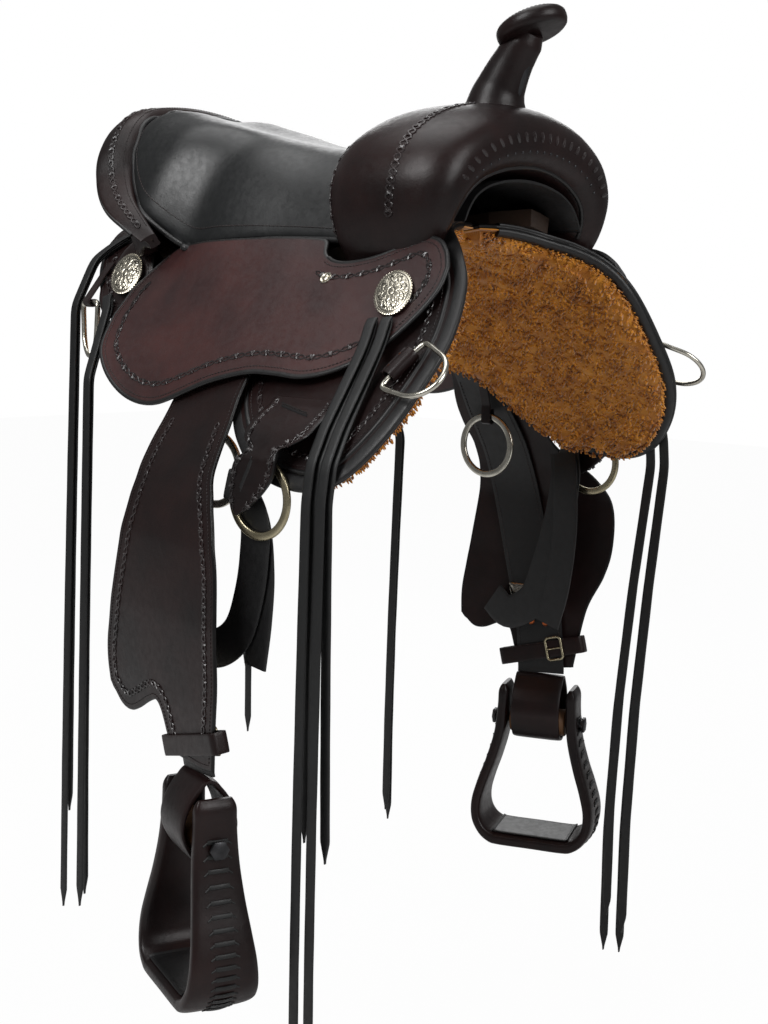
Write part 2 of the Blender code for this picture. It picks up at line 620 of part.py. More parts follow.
def seat_edge():
    """The seat's edge on the rider's left, from the fork back over the cantle's face."""
    edge = [JOCKEY.point(y, 0.0) for y in (-0.085, -0.05, 0.0, 0.05, 0.10, 0.145)]
    edge += [cantle_face(station, 0.90, PAD_EDGE) for station in CANTLE_STATIONS[6:0:-1]]
    return edge


def seat_middle():
    """The seat's middle line, from the fork back over the cantle's face."""
    line = [(0.0, y, z) for y, z in SEAT_MIDDLE]
    return line + [cantle_face(CANTLE_STATIONS[0], share, PAD_EDGE) for share in (0.80, 0.92)]


def build_seat(finishes, cutters, fork_space, cantle_space):
    """The padded seat and the ground seat under it."""
    columns, rows = 21, 13
    edge = catmull(seat_edge(), columns)
    middle = catmull(seat_middle(), columns)
    dish_y, dish = np.array(SEAT_DISH).T
    top = np.zeros((columns, rows, 3))
    depth = np.zeros((columns, rows))
    for i in range(columns):
        for j, v in enumerate(np.sin(np.linspace(-1, 1, rows) * math.pi / 2)):
            t = abs(v)
            x = edge[i][0] * v
            y = middle[i][1] + (edge[i][1] - middle[i][1]) * t ** 2
            power = 2.6 + 1.9 * min(1.0, i / (columns - 1) / 0.5)
            z = middle[i][2] + (edge[i][2] - middle[i][2]) * t ** power
            z += np.interp(y, dish_y, dish) * 4 * t ** 2 * (1 - t ** 2)
            top[i, j] = (x, y, z)
            depth[i, j] = PAD_EDGE + (PAD_MIDDLE - PAD_EDGE) * (1 - t ** 4)
    along = np.gradient(top, axis=0)
    over = np.gradient(top, axis=1)
    normal = np.cross(over, along)
    normal /= np.linalg.norm(normal, axis=2)[..., None]
    normal *= np.where(normal[..., 2:] < 0, -1.0, 1.0)
    under = top - normal * depth[..., None]
    pad = add_mesh("seat_pad", *plate(top, under), finishes["black seat leather"])
    cut(pad, [fork_space, cantle_space])
    inside = slice(1, 16), slice(2, rows - 2)
    ground_top = under[inside] - normal[inside] * GAP * 2
    ground_low = ground_top - normal[inside] * GROUND_SEAT_THICKNESS
    ground = add_mesh("ground_seat", *plate(ground_top, ground_low), finishes["sole leather"])
    cut(ground, [fork_space, cantle_space] + cutters)


def housing_rise(y, s):
    """How far the rear housing stands off the skirt, over the bars' ends."""
    behind = np.clip((y - 0.205) / 0.02, 0, 1)
    over_bar = np.clip((0.150 + 0.028 * behind - s) / (0.030 + 0.024 * behind), 0, 1)
    past_bar = np.clip((y - 0.262) / 0.040, 0, 1)
    past_bar = past_bar * past_bar * (3 - 2 * past_bar)
    high = 0.0235 * over_bar + 0.009 * (1 - over_bar)
    return high * (1 - past_bar) + 0.001 * past_bar


def build_leathers(finishes, fork_space, cantle_space):
    """Skirts, fleece, seat jockeys and rear housings."""
    brown, dark, fleece = (finishes[k] for k in ("jockey leather", "dark leather", "fleece"))
    for word, side in SIDES:
        half = SKIRT_LEATHER / 2
        panel(f"skirt_{word}", SKIRT, SKIRT_UPPER, SKIRT_LOWER, SKIRT_GRID, (-half, half), dark, side)
        panel(f"fleece_{word}", SKIRT, SKIRT_UPPER, SKIRT_LOWER, SKIRT_GRID,
              (-half - GAP - FLEECE_THICKNESS, -half - GAP), fleece, side)
        half = JOCKEY_LEATHER / 2
        jockey = panel(f"seat_jockey_{word}", JOCKEY, JOCKEY_UPPER, JOCKEY_LOWER, (26, 5),
                       (-half, half), brown, side)
        cut(jockey, [fork_space, cantle_space])
        start = SKIRT_LEATHER / 2 + GAP
        housing = panel(f"rear_housing_{word}", SKIRT, HOUSING_UPPER, HOUSING_LOWER, (12, 5),
                        (start, start + HOUSING_LEATHER), dark, side, housing_rise)
        cut(housing, [cantle_space])


def concho(name, surface, y, s, stand, finishes, side):
    """An oval domed disc on a short stem, square to a surface given by a function of y and s."""
    place = surface(y, s)
    forward = surface(y - 0.02, s) - surface(y + 0.02, s)
    forward /= np.linalg.norm(forward)
    down = surface(y, s + 0.018) - surface(y, s - 0.018)
    down -= forward * (down @ forward)
    down /= np.linalg.norm(down)
    out = np.cross(forward, down)
    out *= 1 if out[0] > 0 else -1
    a = forward * math.cos(CONCHO_TURN) + down * math.sin(CONCHO_TURN)
    b = down * math.cos(CONCHO_TURN) - forward * math.sin(CONCHO_TURN)
    rings = []
    for rise, share in ((0.0005, 0.12), (stand, 0.12), (stand, 0.97), (stand + 0.0022, 1.0),
                        (stand + 0.0046, 0.82), (stand + 0.0062, 0.35)):
        rings.append([place + out * rise + a * CONCHO_LENGTH / 2 * share * math.cos(t)
                      + b * CONCHO_WIDTH / 2 * share * math.sin(t)
                      for t in np.linspace(0, 2 * math.pi, 18, endpoint=False)])
    return add_mesh(name, *loft(rings), finishes["nickel"], side)


def jockey_face(y, s):
    """The seat jockey's outer face."""
    return JOCKEY.lifted(y, s, JOCKEY_LEATHER / 2)


def housing_face(y, s):
    """The rear housing's outer face."""
    return SKIRT.lifted(y, s, SKIRT_LEATHER / 2 + GAP + housing_rise(y, s) + HOUSING_LEATHER)


def flat_ring(name, centre, finishes, side):
    """A flat-banded ring whose axis is along X."""
    rings = []
    for a in np.linspace(0, 2 * math.pi, 24, endpoint=False):
        out = np.array([0.0, math.cos(a), math.sin(a)])
        ring = []
        for r, x in ((-0.5, -0.5), (0.5, -0.5), (0.5, 0.5), (-0.5, 0.5)):
            ring.append(np.array(centre) + out * (RIG_RING_RADIUS + r * RIG_RING_BAND)
                        + np.array([x * RIG_RING_THICKNESS, 0, 0]))
        rings.append(ring)
    return add_mesh(name, *loft(rings, closed=True), finishes["nickel"], side)


def dee(name, middle, bar, reach, width, length, finishes, side):
    """A D of round wire: a straight bar and a bow that reaches away from it."""
    corner = 0.008
    bow = [(-width / 2, 0.0), (-width / 6, 0.0), (width / 6, 0.0), (width / 2, 0.0)]
    bow += [(width / 2 + corner, 0.25 * corner), (width / 2 + 1.3 * corner, corner),
            (width / 2 + 1.1 * corner, 0.35 * length)]
    for k in range(1, 8):
        a = math.pi * k / 8
        bow.append((math.cos(a) * (width / 2 + corner), 0.42 * length + 0.58 * length * math.sin(a)))
    bow += [(-u, v) for u, v in bow[6:3:-1]]
    wire = [np.array(middle) + np.array(bar) * u + np.array(reach) * v for u, v in bow]
    out = np.cross(bar, reach)
    count = len(wire)
    rings = []
    for k in range(count):
        tangent = wire[(k + 1) % count] - wire[k - 1]
        tangent /= np.linalg.norm(tangent)
        side_way = np.cross(out, tangent)
        rings.append([wire[k] + (out * math.cos(a) + side_way * math.sin(a)) * DEE_WIRE
                      for a in np.linspace(0, 2 * math.pi, 6, endpoint=False)])
    return add_mesh(name, *loft(rings, closed=True), finishes["nickel"], side)


def extruded(name, outline, origin, u, v, across, width, finish, side):
    """A flat outline in the plane of u and v, given a width across it."""
    origin, u, v, across = (np.asarray(k, float) for k in (origin, u, v, across))
    rings = [[origin + u * a + v * b + across * w for a, b in outline] for w in (-width / 2, width / 2)]
    return add_mesh(name, *loft(rings), finish, side, smooth=False)


def thick_line(line, thickness):
    """The outline of a line of points made thick to both sides."""
    line = np.asarray(line, float)
    tangent = np.gradient(line, axis=0)
    tangent /= np.linalg.norm(tangent, axis=1)[:, None]
    normal = np.stack([-tangent[:, 1], tangent[:, 0]], axis=1)
    return list(line + normal * thickness / 2) + list((line - normal * thickness / 2)[::-1])


def join(obj, others):
    """Joins other shapes to an object as one body."""
    for other in others:
        as_cutter(other)
        step = obj.modifiers.new("join " + other.name, "BOOLEAN")
        step.operation = "UNION"
        step.solver = "EXACT"
        step.object = other


def skirt_x(y, z, lift):
    """How far out a leather of this lift on the skirt stands at y and height z."""
    s = SKIRT.down_to(y, z)
    return SKIRT.point(y, s)[0] + lift / SKIRT.normal(y, s)[0]


def keeper_x(y, z):
    """How far out the latigo keeper's inner face stands at y and height z."""
    skirt = skirt_x(y, z, SKIRT_LEATHER / 2 + GAP + 0.0004)
    free = RIG_RING_FRONT[0] + RIG_RING_THICKNESS / 2 + BILLET_LEATHER + 0.0015
    blend = np.clip((-0.138 - z) / 0.050, 0, 1)
    return max(skirt, skirt * (1 - blend) + free * blend)


def build_keeper(word, side, finishes):
    """The leaf of rigging leather with its slots, and the fold that holds the front ring."""
    leather = finishes["dark leather"]
    outer, inner = [], []
    for z, front, rear in KEEPER_ROWS:
        rows = [], []
        for y in np.linspace(front, rear, 4):
            base = keeper_x(y, z)
            rows[0].append((base, y, z))
            rows[1].append((base + KEEPER_LEATHER * 1.15, y, z))
        inner.append(rows[0])
        outer.append(rows[1])
    leaf = add_mesh(f"latigo_keeper_{word}", *plate(outer, inner), leather, side)
    x, y, z = RIG_RING_FRONT
    near, far = x - RIG_RING_THICKNESS / 2 - 0.0008, x + RIG_RING_THICKNESS / 2 + 0.0008
    top, low = z + RIG_RING_RADIUS + 0.0080, z + RIG_RING_RADIUS - 0.0090
    wall = 0.003
    face = keeper_x(y, top + wall) + KEEPER_LEATHER / 2
    fold = extruded(f"ring_fold_{word}", (
        (face, top + wall), (near - wall, top + wall), (near - wall, low - wall), (far + wall, low - wall),
        (far + wall, top - 0.0035), (far, top - 0.0035), (far, low), (near, low), (near, top),
        (face, top)), (0, y, 0), (1, 0, 0), (0, 0, 1), (0, 1, 0), 0.020, leather, side)
    join(leaf, [fold])
    slots = []
    for name, (y0, z0), (y1, z1), width in (("upper_slot", (-0.125, -0.139), (-0.172, -0.146), 0.004),
                                             ("lower_slot", (-0.135, -0.189), (-0.120, -0.218), 0.004)):
        a, b = np.array([y0, z0]), np.array([y1, z1])
        along = (b - a) / np.linalg.norm(b - a)
        wide = np.array([-along[1], along[0]]) * width / 2
        outline = [a - wide, b - wide, b + wide, a + wide]
        middle = (0.245, 0.30)[name == "lower_slot"]
        slots.append(as_cutter(extruded(f"{name}_{word}", outline, (middle, 0, 0), (0, 1, 0), (0, 0, 1),
                                        (1, 0, 0), 0.03, leather, side)))
    cut(leaf, slots)
    return leaf


def build_rigging(word, side, finishes):
    """Rings, dees and the leathers that hold them, and the strap on the front ring."""
    dark, black = finishes["dark leather"], finishes["black leather"]
    made = {"keeper": build_keeper(word, side, finishes)}
    made["front_ring"] = flat_ring(f"front_rig_ring_{word}", RIG_RING_FRONT, finishes, side)
    made["rear_ring"] = flat_ring(f"rear_rig_ring_{word}", RIG_RING_REAR, finishes, side)

    x, y, z = RIG_RING_REAR
    wall = 0.0018
    clear = RIG_RING_THICKNESS / 2 + 0.0008 + wall / 2
    low = z + RIG_RING_RADIUS - 0.0095
    line = [SKIRT.lifted(y, s, SKIRT_LEATHER / 2 + 0.0015 + wall / 2) for s in (0.256, 0.268, 0.279)]
    line = [(p[0], p[2]) for p in line]
    line += [(x - clear, z + 0.052), (x - clear, z + 0.040),
             (x - clear, low + 0.0015), (x, low - 0.0005), (x + clear, low + 0.0015),
             (x + clear, z + 0.040), (x + clear - 0.001, z + 0.047)]
    made["rear_strap"] = extruded(f"rear_rig_strap_{word}", thick_line(line, wall), (0, y, 0), (1, 0, 0),
                                  (0, 0, 1), (0, 1, 0), 0.014, dark, side)

    place, forward, down, out = frame_on(SKIRT, BREAST_DEE_Y, SKIRT.down_to(BREAST_DEE_Y, -0.098), 0.0)
    wall = 0.003
    gap = DEE_WIRE + 0.0007
    reach = forward * 0.93 + down * 0.37
    bar = down * 0.93 - forward * 0.37
    bar_lift = SKIRT_LEATHER / 2 + 0.0019 + wall + gap
    middle = place + out * bar_lift + reach * 0.006
    made["breast_place"] = middle
    made["breast_dee"] = dee(f"breast_dee_{word}", middle, bar, reach, 0.040, 0.062, finishes, side)
    line = [(-0.018, 0.0), (-0.010, 0.0)] + [(math.sin(math.pi * k / 6) * (gap + wall / 2),
                                             (1 - math.cos(math.pi * k / 6)) * (gap + wall / 2))
                                            for k in range(0, 7)]
    line += [(-0.006, 2 * gap + wall - 0.0006), (-0.013, wall + 0.0008), (-0.018, wall + 0.0004)]
    base = middle - out * (gap + wall / 2)
    made["breast_strap"] = extruded(f"breast_strap_{word}", thick_line(line, wall), base, reach, out, bar,
                                    0.034, dark, side)

    way = np.array([-0.36, 0.93, 0.0])
    out = np.array([0.93, 0.36, 0.0])
    drop = np.array([0.0, 0.0, -1.0])
    edge = SKIRT.lifted(REAR_DEE_PLACE[0], REAR_DEE_PLACE[1], 0.0)
    middle = edge + out * 0.0200 + drop * 0.012
    made["rear_place"] = middle
    made["rear_dee"] = dee(f"rear_dee_{word}", middle, way, drop, 0.036, 0.066, finishes, side)
    r = gap + wall / 2
    line = []
    for s in (0.030, 0.018, 0.008):
        s = REAR_DEE_PLACE[1] - s
        high = housing_lift(REAR_DEE_PLACE[0], s) - LACE_THICKNESS / 2 + 0.0031 + wall / 2
        p = SKIRT.lifted(REAR_DEE_PLACE[0], s, high) - middle
        line.append((p @ out, p[2]))
    line += [(r * math.cos(a), r * math.sin(a)) for a in np.radians((55, 15, -30, -75, -120, -165, -200))]
    made["rear_keeper"] = extruded(f"rear_keeper_{word}", thick_line(line, wall), middle, out, -drop, way,
                                   0.024, dark, side)

    a = math.radians(15)
    x, y, z = RIG_RING_FRONT
    radial, along = np.array([0.0, math.cos(a), math.sin(a)]), np.array([0.0, -math.sin(a), math.cos(a)])
    t = BILLET_LEATHER
    near, far = x - RIG_RING_THICKNESS / 2 - 0.0006, x + RIG_RING_THICKNESS / 2 + 0.0006
    low, top = 0.0288, RIG_RING_RADIUS + RIG_RING_BAND / 2 + 0.0006
    outline = ((near - t, low - 0.006), (near - t, top + t), (far + t, top + t), (far + t, low - t),
               (near, low - t), (near, low), (far, low), (far, top), (near, top), (near, low - 0.006))
    name = "off_billet_right" if word == "right" else "latigo_left"
    loop_outline = ((near - t, low - t), (near - t, top + t), (far + t, top + t), (far + t, low - t))
    hole_outline = ((near, low), (near, top), (far, top), (far, low))
    loop = extruded(name, loop_outline, (0, y, z), (1, 0, 0), radial, along, 0.030, black, side)
    hole = as_cutter(extruded("loop_hole_" + word, hole_outline, (0, y, z), (1, 0, 0), radial, along, 0.04,
                              black, side))
    cut(loop, [hole])
    inner = near - t / 2
    start = np.array([inner, y, z]) + radial * (low - t + 0.012)
    shapes = []
    for k, (shift, width, way_points) in enumerate(STRAP_FALLS[word]):
        path = catmull([start] + [(inner + shift, py, pz) for py, pz in way_points], 12)
        strap = ribbon(f"strap_fall_{k}_{word}", path[:, :], strap_across(path), width, t, black, side)
        shapes.append(strap)
    join(loop, shapes)
    made["strap"] = loop
    return made


def strap_across(path):
    """The width direction of a strap that lies in the YZ plane."""
    tangents = np.gradient(path, axis=0)
    return np.stack([np.zeros(len(path)), -tangents[:, 2], tangents[:, 1]], axis=1)


def fender_yaw(word, z):
    """How far the fender is turned about the vertical at height z."""
    return math.radians(float(np.interp(-z, *FENDER_TURN[word])))


def fender_point(word, z, y, lift=0.0):
    """A point of the fender's middle surface at height z and about y."""
    x = float(np.interp(-z, FENDER_DROP[0], FENDER_DROP[1]))
    yaw = fender_yaw(word, z)
    u = (y - FENDER_MIDDLE) / math.cos(yaw)
    step = 0.004
    slope = (np.interp(-z + step, *FENDER_DROP) - np.interp(-z - step, *FENDER_DROP)) / (2 * step)
    normal = np.array([math.cos(yaw), math.sin(yaw), slope])
    normal /= np.linalg.norm(normal)
    point = np.array([x - u * math.sin(yaw), FENDER_MIDDLE + u * math.cos(yaw), z])
    return point + normal * lift


def build_fender(word, side, finishes, bar_spaces):
    """The fender, its stirrup leather and the hobble strap round them."""
    dark, black = finishes["dark leather"], finishes["black leather"]
    columns, rows = 11, 10
    heights, fronts, rears = np.array(FENDER_EDGES[word]).T
    outer, inner = [], []
    for share in np.linspace(0, 1, columns):
        bottom = float(np.interp(share, *np.array(FENDER_BOTTOM[word]).T))
        rows_out, rows_in = [], []
        for t in np.linspace(0, 1, rows) ** 1.5:
            z = heights[0] + (bottom - heights[0]) * t
            front, rear = np.interp(-z, -heights, fronts), np.interp(-z, -heights, rears)
            y = front + (rear - front) * share
            rows_out.append(fender_point(word, z, y, FENDER_LEATHER / 2))
            rows_in.append(fender_point(word, z, y, -FENDER_LEATHER / 2))
        outer.append(rows_out)
        inner.append(rows_in)
    fender = add_mesh(f"fender_{word}", *plate(outer, inner), dark, side)

    turn = STIRRUP_TURN
    across = np.array([math.sin(turn), -math.cos(turn), 0.0])
    out = np.array([math.cos(turn), math.sin(turn), 0.0])
    axis = np.array(STIRRUP_AXIS)
    path, widths, thick = [], [], []
    for s, lift in ((0.090, 0.0290), (0.118, 0.0300), (0.150, 0.0235)):
        path.append(SKIRT.lifted(0.0, s, lift))
    path += [np.array([0.1945, 0.0, -0.075]), np.array([0.2066, 0.0, -0.090]), np.array([0.2178, 0.0, -0.104])]
    for z in (-0.118, -0.132, -0.148, -0.168, -0.190, -0.215, -0.240, -0.270, -0.310, -0.370, -0.430, -0.465, -0.506):
        y = float(np.interp(-z, (0.13, 0.25, 0.35, 0.44, 0.50), (0.0, -0.010, -0.030, -0.054, -0.0625)))
        path.append(fender_point(word, z, y, -FENDER_LEATHER / 2 - STRAP_LIE - STRAP_LEATHER / 2))
    path.append(axis + np.array([0, 0, 0.0640]))
    path = np.array(path)
    wide = []
    for point in path:
        yaw = fender_yaw(word, point[2])
        wide.append((math.sin(yaw), -math.cos(yaw), 0.0))
    strap = ribbon(f"stirrup_leather_{word}", path, wide, STRAP_WIDTH, STRAP_LEATHER, black, side)
    inside = [(0.0, -0.0190), (0.0120, -0.0150), (0.0200, -0.0040), (0.0255, 0.0100), (0.0240, 0.0250),
              (0.0170, 0.0400), (0.0080, 0.0510), (0.0015, 0.0580)]
    outside = [(0.0, -0.0245), (0.0155, -0.0195), (0.0250, -0.0070), (0.0310, 0.0100), (0.0295, 0.0260),
               (0.0225, 0.0425), (0.0135, 0.0550), (0.0070, 0.0660)]
    rings = []
    for half in (outside, inside):
        full = half + [(-a, b) for a, b in half[:0:-1]]
        rings.append([[axis + across * w + out * a + np.array([0, 0, b]) for a, b in full]
                      for w in (-STRAP_WIDTH / 2, 0.0, STRAP_WIDTH / 2)])
    loop = add_mesh(f"stirrup_loop_{word}", *shell(*rings), black, side)
    join(strap, [loop])

    cut(strap, bar_spaces)
    place = fender_point(word, -0.485, -0.0625, -(STRAP_LEATHER + STRAP_LIE) / 2)
    yaw = fender_yaw(word, place[2])
    wide = np.array([math.sin(yaw), -math.cos(yaw), 0.0])
    normal = fender_point(word, -0.485, -0.0625, 1.0) - fender_point(word, -0.485, -0.0625, 0.0)
    rise = np.cross(wide, normal)
    rise *= 1 if rise[2] > 0 else -1
    lean = math.radians(15)
    wide, rise = (wide * math.cos(lean) + rise * math.sin(lean),
                  rise * math.cos(lean) - wide * math.sin(lean))
    half_w = HOBBLE_REACH
    half_t = (STRAP_LEATHER + FENDER_LEATHER + STRAP_LIE) / 2 + 0.0014
    corner = 0.002
    loop = [(-half_w, -half_t + corner), (-half_w + corner, -half_t), (0, -half_t), (half_w - corner, -half_t),
            (half_w, -half_t + corner), (half_w, half_t - corner), (half_w - corner, half_t), (0, half_t),
            (-half_w + corner, half_t), (-half_w, half_t - corner)]
    rings = []
    for u, v in loop:
        grow_u = u + math.copysign(HOBBLE_LEATHER, u) if u else 0.0
        grow_v = v + math.copysign(HOBBLE_LEATHER, v)
        near = place + wide * u + normal * v
        far = place + wide * grow_u + normal * grow_v
        rings.append([near - rise * HOBBLE_WIDTH / 2, near + rise * HOBBLE_WIDTH / 2,
                      far + rise * HOBBLE_WIDTH / 2, far - rise * HOBBLE_WIDTH / 2])
    hobble = add_mesh(f"hobble_strap_{word}", *loft(rings, closed=True), dark, side)
    return {"fender": fender, "leather": strap, "hobble": hobble}


def build_stirrup(word, side, finishes):
    """The stirrup and the bolt with its roller between the posts."""
    turn = STIRRUP_TURN
    across = np.array([math.sin(turn), -math.cos(turn), 0.0])
    out = np.array([math.cos(turn), math.sin(turn), 0.0])
    axis = np.array(STIRRUP_AXIS)
    origin = np.array([axis[0], axis[1], 0.0])
    half = [(0.0450, -0.530, 0.045), (0.0455, -0.562, 0.046), (0.0490, -0.597, 0.050),
            (0.0580, -0.632, 0.056), (0.0680, -0.662, 0.063), (0.0745, -0.688, 0.070),
            (0.0735, -0.709, 0.075), (0.0655, -0.7240, 0.079), (0.0540, -0.7325, TREAD_DEPTH),
            (0.0420, TREAD_MIDDLE, TREAD_DEPTH), (0.0, TREAD_MIDDLE, TREAD_DEPTH)]
    line = half + [(-b, z, d) for b, z, d in half[-2::-1]]
    spots = np.array([(b, z) for b, z, _ in line])
    tangents = np.gradient(spots, axis=0)
    rings = []
    for (b, z, depth), tangent in zip(line, tangents):
        on_tread = z <= TREAD_MIDDLE
        tangent = np.array([-1.0, 0.0]) if on_tread else tangent / np.linalg.norm(tangent)
        normal = np.array([-tangent[1], tangent[0]])
        wall = TREAD_THICKNESS if on_tread else STIRRUP_WALL
        ring = []
        for u, v in ((-0.5, -0.42), (-0.32, -0.5), (0.32, -0.5), (0.5, -0.42), (0.5, 0.42), (0.32, 0.5),
                     (-0.32, 0.5), (-0.5, 0.42)):
            db, dz = normal * wall * u
            ring.append(origin + across * (b + db) + np.array([0, 0, z + dz]) + out * depth * v)
        rings.append(ring)
    stirrup = add_mesh(f"stirrup_{word}", *loft(rings), finishes["dark leather"], side)

    def turned(name, profile, finish, sides=12):
        circles = []
        for w, radius in profile:
            circles.append([axis + across * w + out * radius * math.cos(a)
                            + np.array([0, 0, 1.0]) * radius * math.sin(a)
                            for a in np.linspace(0, 2 * math.pi, sides, endpoint=False)])
        return add_mesh(name, *loft(circles), finish, side)

    w = 0.0500 + STIRRUP_WALL / 2
    inner = 0.0450 - STIRRUP_WALL / 2 - 0.0012
    bolt = turned(f"stirrup_bolt_{word}", (
        (-w - 0.0045, 0.009), (-w - 0.0038, 0.0105), (-w - 0.0005, 0.0105), (-w - 0.0005, BOLT_RADIUS),
        (-inner, BOLT_RADIUS), (-inner, ROLLER_RADIUS), (inner, ROLLER_RADIUS), (inner, BOLT_RADIUS),
        (w + 0.0005, BOLT_RADIUS), (w + 0.0005, 0.0105), (w + 0.0038, 0.0105), (w + 0.0045, 0.009)),
        finishes["nickel"])
    bore = as_cutter(turned(f"bolt_bore_{word}", ((-0.07, BOLT_RADIUS + GAP), (0.07, BOLT_RADIUS + GAP)),
                            finishes["nickel"]))
    cut(stirrup, [bore])
    return stirrup, bolt


def lace(name, first, second, finishes, side):
    """A saddle string: one tail up, a fold at the top and the other tail down."""
    path = list(first[::-1]) + list(second)
    return ribbon(name, path, (0.0, 1.0, 0.0), LACE_WIDTH, LACE_THICKNESS, finishes["black leather"], side)


def tail_over(hide, steps):
    """Points of a lace that lies on a leather: (y, distance down, lift) each."""
    return [hide.lifted(y, s, lift) for y, s, lift in steps]


def build_strings(word, side, finishes):
    """The laces that hang from the conchos and from the rear housing."""
    made = []
    low = JOCKEY_LEATHER / 2 + 0.0012 + LACE_THICKNESS / 2
    for k, (shift, ends) in enumerate(FRONT_TAILS[word]):
        tails = []
        for layer, (sway, bottom) in enumerate(ends):
            rise = low + layer * (LACE_THICKNESS + 0.0020)
            y = -0.208 + shift
            tail = tail_over(JOCKEY, ((y + 0.002, 0.122, rise), (y - 0.001, 0.136, rise),
                                      (y - 0.004, 0.150, rise), (y - 0.007, 0.166, rise + 0.001)))
            x = 0.2945 + layer * 0.0055
            y = FRONT_FALL[word] + shift * 1.05 + layer * 0.004
            tail += [np.array([0.2720 + layer * 0.0055, y, -0.155]), np.array([x - 0.0055, y, -0.188]),
                     np.array([x, y, -0.225])]
            for share in (0.25, 0.5, 0.75, 1.0):
                z = -0.225 + (bottom + 0.225) * share
                tail.append(np.array([x + sway[0] * share, y + sway[1] * math.sin(share * 2.0), z]))
            tails.append(tail)
        fold = (tails[0][0] + tails[1][0]) / 2
        fold = fold + (tails[0][0] - tails[0][1]) * 0.10
        made.append(lace(f"front_string_{'ab'[k]}_{word}", tails[0], [fold] + tails[1], finishes, side))
    for name, steps, places, ends in REAR_TAILS[word]:
        tails = []
        for layer, (sway, bottom) in enumerate(ends):
            rise = layer * (LACE_THICKNESS + 0.0020)
            tail = [SKIRT.lifted(y, s, housing_lift(y, s) + 0.0016 + rise) for y, s in steps]
            tail += [np.array([x + rise, y, z]) for x, y, z in places]
            x, y, z = places[-1]
            for share in (0.25, 0.5, 0.75, 1.0):
                tail.append(np.array([x + rise + sway[0] * share, y + sway[1] * math.sin(share * 2.0),
                                      z + (bottom - z) * share]))
            tails.append(tail)
        fold = (tails[0][0] + tails[1][0]) / 2 + (tails[0][0] - tails[0][1]) * 0.12
        made.append(lace(f"{name}_{word}", tails[0], [fold] + tails[1], finishes, side))
    return made


def housing_lift(y, s):
    """The middle of a lace that lies on the rear housing."""
    return SKIRT_LEATHER / 2 + GAP + housing_rise(y, s) + HOUSING_LEATHER + GAP + LACE_THICKNESS / 2


def clear_scene():
    """Removes whatever the scene holds."""
    for obj in list(bpy.data.objects):
        bpy.data.objects.remove(obj, do_unlink=True)


def main():
    """Builds the whole saddle."""
    clear_scene()
    finishes = {
        "rawhide tree": material("rawhide tree", (0.62, 0.50, 0.33), 0.6),
        "dark leather": material("dark leather", (0.055, 0.030, 0.025), 0.35),
        "jockey leather": material("jockey leather", (0.085, 0.036, 0.028), 0.45),
        "black leather": material("black leather", (0.012, 0.012, 0.013), 0.5),
        "black seat leather": material("black seat leather", (0.018, 0.019, 0.021), 0.45),
        "sole leather": material("sole leather", (0.45, 0.28, 0.16), 0.6),
        "fleece": material("fleece", (0.62, 0.27, 0.03), 0.95),
        "nickel": material("nickel", (0.75, 0.75, 0.73), 0.2, 1.0),
        "forged steel": material("forged steel", (0.35, 0.35, 0.36), 0.4, 1.0),
    }
    cutters, fork_space, cantle_space = build_tree(finishes)
    build_seat(finishes, cutters, fork_space, cantle_space)
    build_leathers(finishes, fork_space, cantle_space)
    for word, side in SIDES:
        concho(f"front_concho_{word}", jockey_face, -0.206, 0.089, 0.0022, finishes, side)
        concho(f"rear_concho_{word}", housing_face, 0.2340, 0.1560, 0.0046, finishes, side)
        rig = build_rigging(word, side, finishes)
        hung = build_fender(word, side, finishes, cutters)
        stirrup, bolt = build_stirrup(word, side, finishes)
        build_strings(word, side, finishes)
        top = RIG_RING_FRONT + Vector((0, 0, RIG_RING_RADIUS))
        front_pivot = empty(f"front_ring_pivot_{word}", top, side)
        strap_pivot = empty(f"ring_strap_pivot_{word}", RIG_RING_FRONT, side)
        rear_pivot = empty(f"rear_ring_pivot_{word}", RIG_RING_REAR + Vector((0, 0, RIG_RING_RADIUS)), side)
        breast_pivot = empty(f"breast_dee_pivot_{word}", rig["breast_place"], side)
        dee_pivot = empty(f"rear_dee_pivot_{word}", rig["rear_place"], side)
        swing_pivot = empty(f"fender_pivot_{word}", SKIRT.point(*SWING_PLACE), side)
        bolt_pivot = empty(f"stirrup_pivot_{word}", STIRRUP_AXIS, side)
        carry(strap_pivot, [rig["strap"]])
        carry(front_pivot, [rig["front_ring"], strap_pivot])
        carry(rear_pivot, [rig["rear_ring"]])
        carry(breast_pivot, [rig["breast_dee"]])
        carry(dee_pivot, [rig["rear_dee"]])
        carry(bolt_pivot, [stirrup, bolt])
        carry(swing_pivot, [hung["fender"], hung["leather"], hung["hobble"], bolt_pivot])


if __name__ == "__main__":
    main()
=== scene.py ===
"""The looks of a western trail saddle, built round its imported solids.

Each sub-assembly is a class whose fields are its sizes in metres. Its methods
build the meshes, dress them in a finish and let them ride on their body.
"""

import sys

import logging
import math
from dataclasses import dataclass, field
from enum import Enum
from typing import Callable, Optional, Sequence

import bpy
import numpy as np
from mathutils import Matrix


